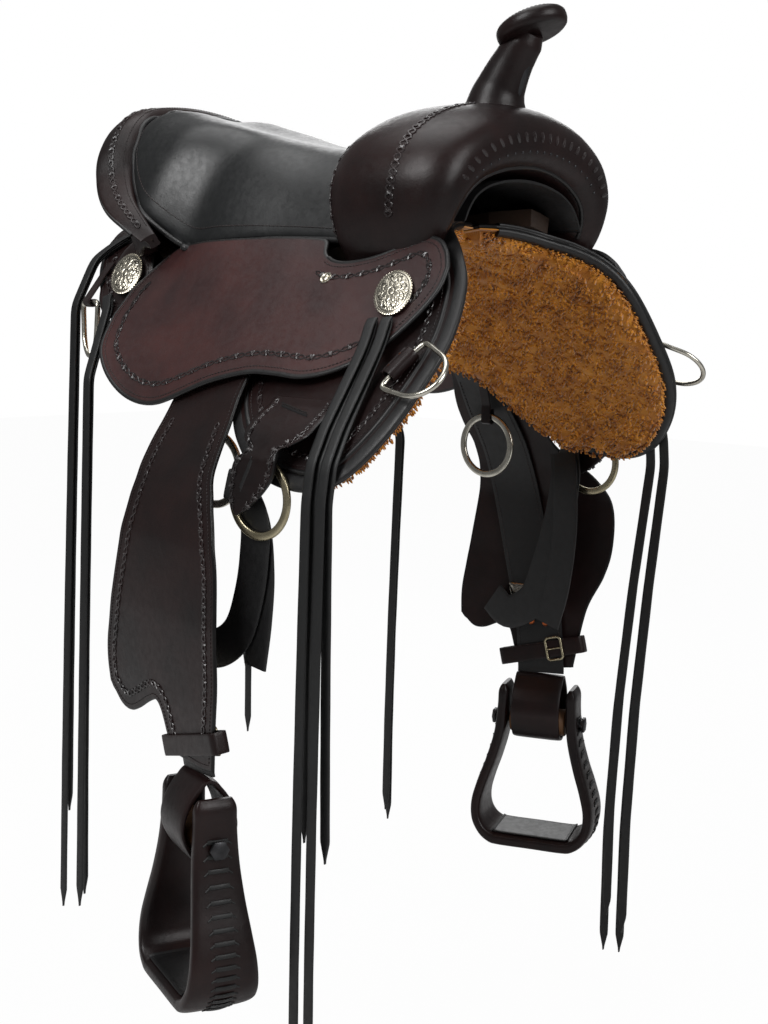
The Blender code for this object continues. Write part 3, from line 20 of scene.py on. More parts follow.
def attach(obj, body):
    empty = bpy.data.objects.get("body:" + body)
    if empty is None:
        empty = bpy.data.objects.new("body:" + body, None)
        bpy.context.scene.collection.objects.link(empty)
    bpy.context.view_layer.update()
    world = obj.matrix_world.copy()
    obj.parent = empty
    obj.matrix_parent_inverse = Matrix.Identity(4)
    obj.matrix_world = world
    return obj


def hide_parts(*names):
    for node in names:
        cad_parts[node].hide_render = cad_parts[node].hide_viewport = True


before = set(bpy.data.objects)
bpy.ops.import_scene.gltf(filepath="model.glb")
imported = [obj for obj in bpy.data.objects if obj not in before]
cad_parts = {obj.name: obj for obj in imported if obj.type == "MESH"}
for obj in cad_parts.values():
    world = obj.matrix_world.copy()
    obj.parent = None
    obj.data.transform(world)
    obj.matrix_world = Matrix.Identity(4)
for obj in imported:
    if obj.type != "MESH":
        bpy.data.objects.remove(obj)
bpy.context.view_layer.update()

LOG = logging.getLogger("trail_saddle")
Array = np.ndarray
Surface = Callable[[Array, Array, Array], Array]
Points = Sequence[Sequence[float]]
Faces = list[tuple[int, ...]]


class Side(Enum):
    """A side of the saddle, as the rider sits on it; its value is the sign of X."""

    LEFT = 1.0
    RIGHT = -1.0

    @property
    def word(self) -> str:
        """The side's name in lower case."""
        return self.name.lower()


@dataclass(frozen=True)
class Thickness:
    """Thicknesses of the leathers and the air between them."""

    gap: float = 0.0003
    skirt: float = 0.005
    fleece: float = 0.020
    jockey: float = 0.005
    housing: float = 0.004
    cover: float = 0.0035
    lining: float = 0.003
    fender: float = 0.004
    strap: float = 0.0045
    billet: float = 0.0035
    keeper: float = 0.004
    lace: float = 0.003


THICK = Thickness()
LACE_WIDTH = 0.0125
STIRRUP_AXIS = np.array([0.304, -0.065, -0.578])
STIRRUP_TURN = math.radians(22)
STIRRUP_ACROSS = np.array([math.sin(STIRRUP_TURN), -math.cos(STIRRUP_TURN), 0.0])
STIRRUP_OUT = np.array([math.cos(STIRRUP_TURN), math.sin(STIRRUP_TURN), 0.0])
AWAY, REARWARD, UP = np.eye(3)
FRONT_RING = np.array([0.2945, -0.135, -0.2275])
REAR_RING = np.array([0.2400, -0.012, -0.213])
RING_RADIUS, RING_BAND, RING_THICK = 0.0375, 0.0085, 0.005

# cross-sections of the skirt's outer face: station along Y, then (x, z) from the ridge down
SKIRT_SECTIONS = (
    (-0.29, ((0, 0.070), (0.044, 0.069), (0.083, 0.061), (0.114, 0.047), (0.136, 0.024),
             (0.157, -0.013), (0.191, -0.064), (0.234, -0.114), (0.262, -0.156), (0.285, -0.200))),
    (-0.10, ((0, 0.045), (0.042, 0.042), (0.080, 0.030), (0.112, 0.008), (0.140, -0.018),
             (0.168, -0.048), (0.200, -0.084), (0.236, -0.128), (0.264, -0.168), (0.283, -0.210))),
    (0.05, ((0, 0.026), (0.040, 0.023), (0.080, 0.009), (0.115, -0.018), (0.145, -0.048),
            (0.172, -0.078), (0.203, -0.113), (0.233, -0.150), (0.256, -0.185), (0.272, -0.218))),
    (0.20, ((0, 0.030), (0.040, 0.028), (0.080, 0.017), (0.113, -0.004), (0.142, -0.032),
            (0.170, -0.062), (0.198, -0.094), (0.224, -0.128), (0.244, -0.160), (0.258, -0.190))),
    (0.36, ((0, 0.058), (0.040, 0.055), (0.080, 0.042), (0.112, 0.016), (0.138, -0.012),
            (0.162, -0.042), (0.188, -0.074), (0.212, -0.108), (0.232, -0.140), (0.246, -0.170))),
)

# cross-sections of the seat jockey's outer face, from the seat's edge down
JOCKEY_SECTIONS = (
    (-0.26, ((0.128, 0.052), (0.145, 0.032), (0.158, 0.008), (0.172, -0.018), (0.190, -0.046),
             (0.208, -0.070))),
    (-0.20, ((0.130, 0.046), (0.147, 0.024), (0.164, -0.004), (0.184, -0.036), (0.207, -0.068),
             (0.228, -0.096))),
    (-0.10, ((0.134, 0.034), (0.156, 0.008), (0.180, -0.024), (0.207, -0.062), (0.236, -0.101),
             (0.260, -0.136))),
    (0.00, ((0.139, 0.036), (0.160, 0.010), (0.184, -0.024), (0.211, -0.066), (0.238, -0.108),
            (0.260, -0.146))),
    (0.09, ((0.146, 0.034), (0.162, 0.008), (0.184, -0.030), (0.208, -0.074), (0.232, -0.118),
            (0.250, -0.158))),
    (0.20, ((0.126, 0.024), (0.146, 0.000), (0.169, -0.028), (0.193, -0.058), (0.215, -0.086),
            (0.235, -0.114))),
)

# edges of the leathers: (y, distance down the section)
SKIRT_UPPER = ((-0.166, 0.006), (-0.05, 0.006), (0.10, 0.006), (0.25, 0.006), (0.352, 0.006))
SKIRT_LOWER = ((-0.172, 0.030), (-0.198, 0.084), (-0.226, 0.118), (-0.252, 0.150), (-0.274, 0.190),
               (-0.286, 0.253), (-0.284, 0.319), (-0.266, 0.372), (-0.230, 0.412), (-0.185, 0.420),
               (-0.130, 0.403), (-0.085, 0.370), (-0.050, 0.328), (-0.024, 0.281), (0.020, 0.246),
               (0.070, 0.228), (0.130, 0.222), (0.190, 0.215), (0.250, 0.195), (0.300, 0.165),
               (0.335, 0.120), (0.352, 0.070), (0.356, 0.030))
JOCKEY_UPPER = ((-0.250, 0.042), (-0.236, 0.027), (-0.214, 0.019), (-0.188, 0.026), (-0.150, 0.036),
                (-0.110, 0.036), (-0.086, 0.024), (-0.076, 0.006), (-0.060, 0.0015), (0.0, 0.0015),
                (0.07, 0.0015), (0.13, 0.0015), (0.165, 0.006), (0.192, 0.030), (0.212, 0.062))
JOCKEY_LOWER = ((-0.258, 0.060), (-0.256, 0.087), (-0.240, 0.122), (-0.215, 0.156), (-0.180, 0.177),
                (-0.140, 0.185), (-0.100, 0.180), (-0.065, 0.179), (-0.020, 0.189), (0.030, 0.203),
                (0.075, 0.211), (0.115, 0.208), (0.150, 0.196), (0.182, 0.175), (0.204, 0.148),
                (0.215, 0.105))
HOUSING_UPPER = ((0.190, 0.165), (0.230, 0.100), (0.268, 0.050), (0.300, 0.008), (0.352, 0.008))
HOUSING_LOWER = ((0.200, 0.215), (0.245, 0.210), (0.290, 0.170), (0.328, 0.120), (0.352, 0.060))

# fork: outer (x, z), inner (x, z), front y, rear y, from foot to middle
FORK_STATIONS = (
    ((0.143, 0.002), (0.110, 0.034), -0.214, -0.094),
    ((0.158, 0.032), (0.107, 0.050), -0.230, -0.086),
    ((0.167, 0.066), (0.100, 0.064), -0.240, -0.082),
    ((0.165, 0.100), (0.088, 0.078), -0.247, -0.080),
    ((0.144, 0.136), (0.068, 0.089), -0.251, -0.080),
    ((0.102, 0.163), (0.042, 0.096), -0.253, -0.084),
    ((0.052, 0.177), (0.020, 0.099), -0.254, -0.090),
    ((0.0, 0.181), (0.0, 0.100), -0.255, -0.093),
)

# cantle: rim point, base point, half thickness, from the middle to the wing
CANTLE_STATIONS = (
    ((0.0, 0.300, 0.208), (0.0, 0.245, 0.072), 0.0155),
    ((0.066, 0.296, 0.2025), (0.055, 0.240, 0.050), 0.0155),
    ((0.110, 0.284, 0.186), (0.095, 0.232, 0.034), 0.0155),
    ((0.138, 0.275, 0.153), (0.118, 0.226, 0.028), 0.015),
    ((0.152, 0.261, 0.118), (0.134, 0.220, 0.024), 0.014),
    ((0.162, 0.238, 0.086), (0.146, 0.208, 0.020), 0.012),
    ((0.168, 0.207, 0.060), (0.156, 0.194, 0.028), 0.009),
    ((0.171, 0.178, 0.038), (0.163, 0.176, 0.026), 0.006),
)
CANTLE_LOOP = ((-1.0, 0.0), (-1.05, 0.35), (-1.1, 0.7), (-0.9, 0.93), (-0.1, 1.0), (1.0, 1.0),
               (2.0, 0.95), (2.05, 0.86), (1.3, 0.78), (0.95, 0.4), (0.9, 0.0))

# seat's middle line: (y, z), and the dish beside it: (y, depth)
SEAT_MIDDLE = ((-0.088, 0.143), (-0.05, 0.139), (0.0, 0.139), (0.05, 0.146), (0.10, 0.156),
               (0.14, 0.165), (0.18, 0.175), (0.22, 0.186))
SEAT_DISH = ((-0.09, 0.0), (0.0, 0.003), (0.05, 0.010), (0.10, 0.015), (0.14, 0.018), (0.18, 0.019),
             (0.22, 0.015), (0.26, 0.006), (0.28, 0.0))

# latigo keeper: height, front edge and rear edge along Y
KEEPER_ROWS = (
    (-0.130, -0.190, -0.108), (-0.136, -0.195, -0.104), (-0.150, -0.195, -0.104),
    (-0.163, -0.192, -0.106), (-0.172, -0.178, -0.114), (-0.178, -0.165, -0.126),
    (-0.190, -0.166, -0.111), (-0.205, -0.162, -0.105), (-0.220, -0.150, -0.103),
    (-0.234, -0.134, -0.106), (-0.245, -0.117, -0.112),
)

# fender: height, front and rear edge along Y; its turn, its bottom edge from front to rear, its drop
FENDER_EDGES = {
    Side.RIGHT: ((-0.104, -0.058, 0.042), (-0.150, -0.060, 0.053), (-0.185, -0.066, 0.059),
                 (-0.215, -0.074, 0.061), (-0.240, -0.088, 0.064), (-0.291, -0.106, 0.079),
                 (-0.341, -0.112, 0.095), (-0.381, -0.114, 0.107), (-0.428, -0.115, 0.118),
                 (-0.500, -0.106, 0.112)),
    Side.LEFT: ((-0.104, -0.058, 0.040), (-0.150, -0.060, 0.046), (-0.185, -0.066, 0.045),
                (-0.215, -0.076, 0.038), (-0.255, -0.122, 0.036), (-0.291, -0.142, 0.040),
                (-0.341, -0.144, 0.048), (-0.381, -0.135, 0.054), (-0.428, -0.115, 0.058),
                (-0.500, -0.104, 0.050)),
}
FENDER_TURN = {
    Side.RIGHT: ((0.075, 0.100, 0.13, 0.20, 0.28, 0.36, 0.46), (0.0, 6.0, 6.0, 8.0, 10.0, 12.0, 14.0)),
    Side.LEFT: ((0.075, 0.100, 0.13, 0.20, 0.28, 0.36, 0.46), (0.0, 6.0, 6.0, 14.0, 15.0, 14.0, 14.0)),
}
FENDER_BOTTOM = {
    Side.RIGHT: ((0.0, -0.503), (0.10, -0.506), (0.40, -0.504), (0.50, -0.452), (0.60, -0.461),
                 (0.70, -0.474), (0.80, -0.483), (0.90, -0.480), (1.0, -0.458)),
    Side.LEFT: ((0.0, -0.503), (0.10, -0.506), (0.50, -0.504), (0.60, -0.450), (0.70, -0.458),
                (0.80, -0.466), (0.90, -0.466), (1.0, -0.448)),
}
FENDER_DROP = ((0.104, 0.110, 0.120, 0.130, 0.140, 0.150, 0.165, 0.185, 0.210, 0.240, 0.280, 0.360,
                0.440, 0.500),
               (0.2236, 0.2278, 0.2346, 0.2410, 0.2464, 0.2508, 0.2590, 0.2720, 0.2870, 0.2990, 0.3060,
                0.3060, 0.3015, 0.2960))

# straps on the front rings: shift outwards, width, way points (y, z)
STRAP_FALLS = {
    Side.RIGHT: ((0.0, 0.040, ((-0.123, -0.250), (-0.124, -0.290), (-0.117, -0.330), (-0.103, -0.366),
                               (-0.078, -0.386), (-0.045, -0.392))),
                 (-0.0042, 0.030, ((-0.124, -0.250), (-0.133, -0.300), (-0.131, -0.350), (-0.124, -0.399)))),
    Side.LEFT: ((-0.0045, 0.044, ((-0.105, -0.250), (-0.098, -0.300), (-0.082, -0.360), (-0.060, -0.415),
                                  (-0.022, -0.436), (0.004, -0.420))),
                (-0.0090, 0.036, ((-0.108, -0.250), (-0.110, -0.320), (-0.102, -0.390), (-0.088, -0.442)))),
}

# strings: per lace a shift along Y and each tail's sway (x, y) and bottom height
FRONT_TAILS = {
    Side.RIGHT: ((0.009, (((-0.008, 0.010), -0.560), ((-0.005, 0.006), -0.835))),
                 (-0.009, (((-0.010, 0.002), -0.575), ((-0.006, 0.006), -0.830)))),
    Side.LEFT: ((0.009, (((-0.016, 0.031), -0.800), ((-0.013, 0.035), -0.850))),
                (-0.009, (((-0.018, 0.025), -0.815), ((-0.015, 0.029), -0.845)))),
}
FRONT_FALL = {Side.RIGHT: -0.216, Side.LEFT: -0.233}
CONCHO_STEPS = ((0.2460, 0.190), (0.2400, 0.198), (0.2320, 0.206))
HOUSING_STEPS = ((0.308, 0.085), (0.315, 0.104), (0.321, 0.122), (0.326, 0.138))
REAR_TAILS = {
    Side.RIGHT: (("concho_string", CONCHO_STEPS, ((0.2300, 0.2100, -0.128),),
                  (((-0.002, 0.006), -0.745), ((0.003, 0.002), -0.756))),
                 ("housing_string", HOUSING_STEPS, ((0.1520, 0.3350, -0.046),),
                  (((0.004, 0.004), -0.690), ((0.006, 0.006), -0.815)))),
    Side.LEFT: (("concho_string", CONCHO_STEPS,
                 ((0.2450, 0.2020, -0.125), (0.2580, 0.1760, -0.160), (0.2640, 0.1560, -0.215)),
                 (((-0.002, 0.006), -0.745), ((0.003, 0.010), -0.762))),
                ("housing_string", HOUSING_STEPS, ((0.1520, 0.3350, -0.046),),
                 (((0.004, 0.004), -0.560), ((0.006, 0.006), -0.650)))),
}


# curves and meshes


def running(path: Array) -> Array:
    """The running length along a path, starting at 0."""
    return np.r_[0, np.cumsum(np.linalg.norm(np.diff(path, axis=0), axis=1))]


def at_shares(path: Array, shares: Array) -> Array:
    """Points at the given shares of a path's length."""
    run = running(path)
    return np.stack([np.interp(np.asarray(shares) * run[-1], run,
        path[:, k]) for k in range(path.shape[1])], axis=1)


def spread(rows: Array, at: Array) -> Array:
    """A smooth blend of rows of numbers.

    Args:
        rows: the rows, along the first axis.
        at: the places wanted, counted in rows.

    Returns:
        One row for each place.
    """
    rows = np.asarray(rows, float)
    padded = np.concatenate([[2 * rows[0] - rows[1]], rows, [2 * rows[-1] - rows[-2]]])
    low = np.clip(np.floor(at).astype(int), 0, len(rows) - 2)
    t = (np.asarray(at) - low).reshape((-1,) + (1,) * (rows.ndim - 1))
    a, b, c, d = (padded[low + k] for k in range(4))
    return 0.5 * (2 * b + (c - a) * t + (2 * a - 5 * b + 4 * c - d) * t ** 2 + (3 * b - a - 3 * c + d)
        * t ** 3)


def smooth(points: Points, shares: Array | int) -> Array:
    """Points along the smooth curve through the given points.

    Args:
        points: what the curve goes through.
        shares: shares of its length from 0 to 1, or how many even ones.

    Returns:
        The points, one row each.
    """
    points = np.asarray(points, float)
    if isinstance(shares, int):
        shares = np.linspace(0, 1, shares)
    return at_shares(spread(points, np.linspace(0, len(points) - 1, 14 * len(points))), shares)


def even(path: Array, pitch: float) -> Array:
    """The path again, with points about a pitch apart."""
    count = max(2, int(round(running(path)[-1] / pitch)) + 1)
    return at_shares(path, np.linspace(0, 1, count))


def evened(loop: Array, count: int) -> Array:
    """A closed line again, with a number of even points."""
    return at_shares(np.vstack([loop, loop[:1]]), np.linspace(0, 1, count + 1))[:-1]


def around(count: int) -> Array:
    """Even angles round a circle."""
    return np.linspace(0, 2 * math.pi, count, endpoint=False)


def squarish(angle: Array, power: float) -> list[Array]:
    """The cosine and sine on an oval that is the squarer, the higher the power; 2 is a circle."""
    return [np.sign(f) * abs(f) ** (2 / power) for f in (np.cos(angle), np.sin(angle))]


def beside(line: Array) -> Array:
    """At each point of a closed line, the step from the point before it to the one after."""
    return np.roll(line, -1, 0) - np.roll(line, 1, 0)


def unit(vectors: Array) -> Array:
    """The vectors at length 1."""
    return vectors / np.maximum(np.linalg.norm(vectors, axis=-1, keepdims=True), 1e-12)


@dataclass
class Shape:
    """Points and faces of one piece, gathered part by part."""

    points: list[Array] = field(default_factory=list)
    faces: list[Array] = field(default_factory=list)
    tags: list[Array] = field(default_factory=list)
    count: int = 0

    def add(self, points: Array, faces: Sequence[Sequence[int]], tag: float | Array = 0.0) -> "Shape":
        """Adds a part.

        Args:
            points: its points.
            faces: its faces, as rows of point numbers.
            tag: a number kept on its points, such as how far they lie from an edge in millimetres.

        Returns:
            The shape itself.
        """
        points = np.asarray(points, float).reshape(-1, 3)
        self.points.append(points)
        self.faces.extend(tuple(int(k) + self.count for k in face) for face in faces)
        self.tags.append(np.broadcast_to(np.asarray(tag, float), (len(points),)))
        self.count += len(points)
        return self

    def tube(self, path: Array, normals: Array, half_wide: float | Array, half_high: float | Array,
        sides: int = 8, closed: bool = False, tag: float = 0.0, power: float = 2.0) -> "Shape":
        """Adds a tube or strip along a path.

        Args:
            path: its middle line.
            normals: the direction of its height at each point.
            half_wide: half its width.
            half_high: half its height.
            sides: points round it.
            closed: whether it joins up with its own start.
            tag: the number kept on its points.
            power: how square its section is; 2 is an ellipse.

        Returns:
            The shape itself.
        """
        path = np.asarray(path, float)
        step = beside(path) if closed else np.gradient(path, axis=0)
        along = unit(step)
        high = np.broadcast_to(np.asarray(normals, float), path.shape)
        wide = unit(np.cross(high, along))
        high = np.cross(along, wide)
        c, s = squarish(around(sides), power)
        w = np.broadcast_to(half_wide, (len(path),))[:, None, None] * c[None, :, None]
        h = np.broadcast_to(half_high, (len(path),))[:, None, None] * s[None, :, None]
        rings = path[:, None] + wide[:, None] * w + high[:, None] * h
        return self.loft(rings, closed, tag)

    def loft(self, rings: Array, closed: bool = False, tag: float | Array = 0.0) -> "Shape":
        """Adds a skin over equal closed rings, capped at its ends or joined end to end."""
        rings = np.asarray(rings, float)
        count, size = rings.shape[:2]
        i, j = np.meshgrid(np.arange(count if closed else count - 1), np.arange(size), indexing="ij")
        a, b, k = i * size, (i + 1) % count * size, (j + 1) % size
        faces = np.stack([a + j, a + k, b + k, b + j], axis=-1).reshape(-1, 4).tolist()
        if not closed:
            faces += [tuple(range(size))[::-1], tuple(range((count - 1) * size, count * size))]
        return self.add(rings, faces, np.asarray(tag).reshape(-1) if np.ndim(tag) > 1 else tag)

    def plate(self, outer: Array, inner: Array, tag: float | Array = 0.0) -> "Shape":
        """Adds the closed plate between two grids of points."""
        columns, rows = outer.shape[:2]
        half = columns * rows
        number = np.arange(half).reshape(columns, rows)
        a, b, c, d = number[:-1, :-1], number[1:, :-1], number[1:, 1:], number[:-1, 1:]
        top = np.stack([a, b, c, d], -1).reshape(-1, 4)
        low = np.stack([a, d, c, b], -1).reshape(-1, 4) + half
        rim = np.r_[number[:-1, 0], number[-1, :-1], number[:0:-1, -1], number[0, :0:-1]]
        after = np.roll(rim, -1)
        wall = np.stack([after, rim, rim + half, after + half], -1)
        both = np.broadcast_to(tag, (columns, rows)).reshape(-1)
        return self.add(np.concatenate([outer.reshape(-1, 3), inner.reshape(-1, 3)]),
            np.concatenate([top, low, wall]).tolist(), np.r_[both, both])

    def stamp(self, points: Points, faces: Faces, places: Array, along: Array, normals: Array,
        sizes: float | Array = 1.0, tag: float = 0.0) -> "Shape":
        """Adds copies of a small form.

        Args:
            points: the form's points: along, across and out.
            faces: its faces.
            places: where the copies go.
            along: each copy's first direction.
            normals: each copy's outward direction.
            sizes: how large each one is.
            tag: the number kept on the points.

        Returns:
            The shape itself.
        """
        form = np.asarray(points, float)
        along, normals = unit(np.asarray(along)), unit(np.asarray(normals))
        across = np.cross(normals, along)
        scaled = form[None] * np.broadcast_to(sizes, (len(places),))[:, None, None]
        made = (places[:, None] + scaled[..., :1] * along[:, None]
            + scaled[..., 1:2] * across[:, None] + scaled[..., 2:] * normals[:, None])
        every = []
        for k in range(len(places)):
            start = k * len(form)
            every += [tuple(f + start for f in face) for face in faces]
        return self.add(made, every, tag)

    def make(self, name: str, finish: bpy.types.Material, side: Side = Side.LEFT,
        creases: float = 50.0) -> bpy.types.Object:
        """Makes the mesh object.

        Args:
            name: the piece's name.
            finish: its material.
            side: the right side is the mirror image of what was gathered.
            creases: faces that meet at more than this angle keep a sharp edge, in degrees.

        Returns:
            The object, linked to the scene.
        """
        points = np.concatenate(self.points)
        faces = self.faces
        if side is Side.RIGHT:
            points = points * (-1, 1, 1)
            faces = [face[::-1] for face in faces]
        mesh = bpy.data.meshes.new(name)
        mesh.from_pydata(points.tolist(), [], faces)
        kept = mesh.attributes.new("from_edge", "FLOAT", "POINT")
        kept.data.foreach_set("value", np.concatenate(self.tags).astype(np.float32))
        mesh.materials.append(finish)
        mesh.shade_smooth()
        mesh.set_sharp_from_angle(angle=math.radians(creases))
        made = bpy.data.objects.new(name, mesh)
        bpy.context.scene.collection.objects.link(made)
        return made


def settle(piece: bpy.types.Object, body: str, slot: str, *nodes: str) -> bpy.types.Object:
    """Lets a piece ride on its body.

    Args:
        piece: the piece.
        body: the body's name.
        slot: the record's material slot; not used.
        nodes: the solids that it stands for.

    Returns:
        The piece.
    """
    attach(piece, body)
    if nodes:
        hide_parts(*nodes)
    LOG.info("%s rides on %s", piece.name, body)
    return piece


def outline_distance(points: Array, outline: Array) -> Array:
    """The distance of each flat point from a closed outline."""
    a, b = outline, np.roll(outline, -1, axis=0)
    edge = b - a
    nearest = np.full(len(points), 1e9)
    for start in range(0, len(points), 2000):
        p = points[start:start + 2000, None]
        t = np.clip(((p - a) * edge).sum(-1) / np.maximum((edge ** 2).sum(-1), 1e-15), 0, 1)
        nearest[start:start + 2000] = np.linalg.norm(p - a - edge * t[..., None], axis=-1).min(1)
    return nearest


def inset(outline: Array, distance: float) -> Array:
    """A closed outline moved inwards, with its tight corners cut across."""
    line = evened(outline, 899)
    step = np.roll(line, -2, 0) - np.roll(line, 2, 0)
    area = (line[:, 0] * np.roll(line[:, 1], -1) - line[:, 1] * np.roll(line[:, 0], -1)).sum()
    inward = unit(np.stack([-step[:, 1], step[:, 0]], 1)) * (1 if area > 0 else -1)
    moved = line + inward * distance
    moved = moved[outline_distance(moved, line) > distance * 0.97]
    for _ in range(6):
        moved = (np.roll(moved, 1, 0) + moved * 2 + np.roll(moved, -1, 0)) / 4
    return moved


def longest_run(path: Array, keep: Array) -> Array:
    """The longest unbroken stretch of a closed path that is kept."""
    if keep.all():
        return np.vstack([path, path[:1]])
    start = int(np.argmin(keep))
    path, keep = np.roll(path, -start, 0), np.roll(keep, -start)
    best, first = (0, 0), 0
    for k, kept in enumerate(np.r_[keep, False]):
        if not kept:
            if k - first > best[1] - best[0]:
                best = first, k
            first = k + 1
    return path[best[0]:best[1]]


class Hide:
    """A surface draped over the saddle, given by cross-sections along Y."""

    def __init__(self, sections: tuple) -> None:
        """Tabulates the surface.

        Args:
            sections: each cross-section's place along Y and its (x, z) points.
        """
        stations = np.array([y for y, _ in sections])
        controls = np.array([points for _, points in sections])
        slopes = np.gradient(controls, stations, axis=0)
        self.ys, self.ss = np.arange(-0.345, 0.42, 0.005), np.arange(-0.024, 0.52, 0.003)
        self.table = np.array([self.line(y, stations, controls, slopes) for y in self.ys])

    def line(self, y: float, stations: Array, controls: Array, slopes: Array) -> Array:
        """The section at y, at even distances down it."""
        if y <= stations[0] or y >= stations[-1]:
            k = 0 if y <= stations[0] else -1
            here = controls[k] + slopes[k] * (y - stations[k])
        else:
            i = int(np.searchsorted(stations, y)) - 1
            h = stations[i + 1] - stations[i]
            t = (y - stations[i]) / h
            here = ((2 * t ** 3 - 3 * t ** 2 + 1) * controls[i] + (t ** 3 - 2 * t ** 2 + t) * h * slopes[i]
                + (3 * t ** 2 - 2 * t ** 3) * controls[i + 1] + (t ** 3 - t ** 2) * h * slopes[i + 1])
        dense = smooth(here, 12 * len(here))
        run = running(dense)
        ends = unit(dense[[0, -2]] - dense[[1, -1]])
        before = dense[:1] + ends[:1] * 0.05
        after = dense[-1:] - ends[1:] * 0.3
        full = np.vstack([before, dense, after])
        at = np.r_[-0.05, run, run[-1] + 0.3]
        return np.stack([np.interp(self.ss, at, full[:, k]) for k in (0, 1)], axis=1)

    def point(self, y: Array, s: Array) -> Array:
        """The surface points at y, a distance s down the section."""
        y, s = np.broadcast_arrays(np.asarray(y, float), np.asarray(s, float))
        fy = np.clip((y - self.ys[0]) / 0.005, 0, len(self.ys) - 1.001)
        fs = np.clip((s - self.ss[0]) / 0.003, 0, len(self.ss) - 1.001)
        i, j = fy.astype(int), fs.astype(int)
        u, v = (fy - i)[..., None], (fs - j)[..., None]
        t = self.table
        xz = (t[i, j] * (1 - u) * (1 - v) + t[i + 1, j] * u * (1 - v)
            + t[i, j + 1] * (1 - u) * v + t[i + 1, j + 1] * u * v)
        return np.stack([xz[..., 0], y, xz[..., 1]], axis=-1)

    def normal(self, y: Array, s: Array) -> Array:
        """The unit normals that point away from the horse."""
        y, s = np.asarray(y, float), np.asarray(s, float)
        along = self.point(y + 0.006, s) - self.point(y - 0.006, s)
        down = self.point(y, s + 0.006) - self.point(y, s - 0.006)
        return unit(np.cross(down, along))

    def lifted(self, y: Array, s: Array, lift: Array) -> Array:
        """The points a distance lift outside the surface."""
        lift = np.asarray(lift, float)
        return self.point(y, s) + self.normal(y, s) * lift[..., None]

    def down_to(self, y: float, z: float) -> float:
        """The distance down the section at which it reaches height z."""
        heights = self.point(np.full(len(self.ss), y), self.ss)[:, 2]
        return float(np.interp(-z, -heights, self.ss))


SKIRT = Hide(SKIRT_SECTIONS)
JOCKEY = Hide(JOCKEY_SECTIONS)


def housing_rise(y: Array, s: Array) -> Array:
    """How far the rear housing stands off the skirt, over the bars' ends."""
    behind = np.clip((y - 0.205) / 0.02, 0, 1)
    over_bar = np.clip((0.150 + 0.028 * behind - s) / (0.030 + 0.024 * behind), 0, 1)
    past_bar = np.clip((y - 0.262) / 0.040, 0, 1)
    past_bar = past_bar * past_bar * (3 - 2 * past_bar)
    high = 0.0235 * over_bar + 0.009 * (1 - over_bar)
    return high * (1 - past_bar) + 0.001 * past_bar


# finishes


def colour(code: str) -> tuple[float, float, float, float]:
    """The linear colour of an sRGB hex value such as 6b4a3c."""
    parts = [int(code[k:k + 2], 16) / 255 for k in (0, 2, 4)]
    linear = [p / 12.92 if p <= 0.04045 else ((p + 0.055) / 1.055) ** 2.4 for p in parts]
    return linear[0], linear[1], linear[2], 1.0


def feed(node: bpy.types.Node, inputs: dict) -> None:
    """Sets a node's inputs to values, or links them to sockets or to other nodes' first outputs."""
    for key, value in inputs.items():
        if isinstance(value, bpy.types.Node):
            value = value.outputs[0]
        if isinstance(value, bpy.types.NodeSocket):
            node.id_data.links.new(value, node.inputs[key])
        else:
            node.inputs[key].default_value = value


def add_node(tree: bpy.types.NodeTree, kind: str, inputs: Optional[dict] = None,
    **settings: object) -> bpy.types.Node:
    """Adds a shader node.

    Args:
        tree: the node tree.
        kind: the node's type, without its ShaderNode prefix.
        inputs: what its inputs are fed with, by name or number.
        settings: its own properties.

    Returns:
        The node.
    """
    node = tree.nodes.new("ShaderNode" + kind)
    for key, value in settings.items():
        setattr(node, key, value)
    feed(node, inputs or {})
    return node


def per_metre(millimetres: float) -> float:
    """The texture scale at which a pattern repeats every so many millimetres."""
    return 1000.0 / millimetres


def begin(name: str) -> tuple[bpy.types.Material, bpy.types.NodeTree, bpy.types.Node, bpy.types.NodeSocket]:
    """A new material with its tree, its Principled shader and its object coordinates."""
    made = bpy.data.materials.new(name)
    made.use_nodes = True
    tree = made.node_tree
    shader = tree.nodes["Principled BSDF"]
    place = add_node(tree, "TexCoord").outputs["Object"]
    return made, tree, shader, place


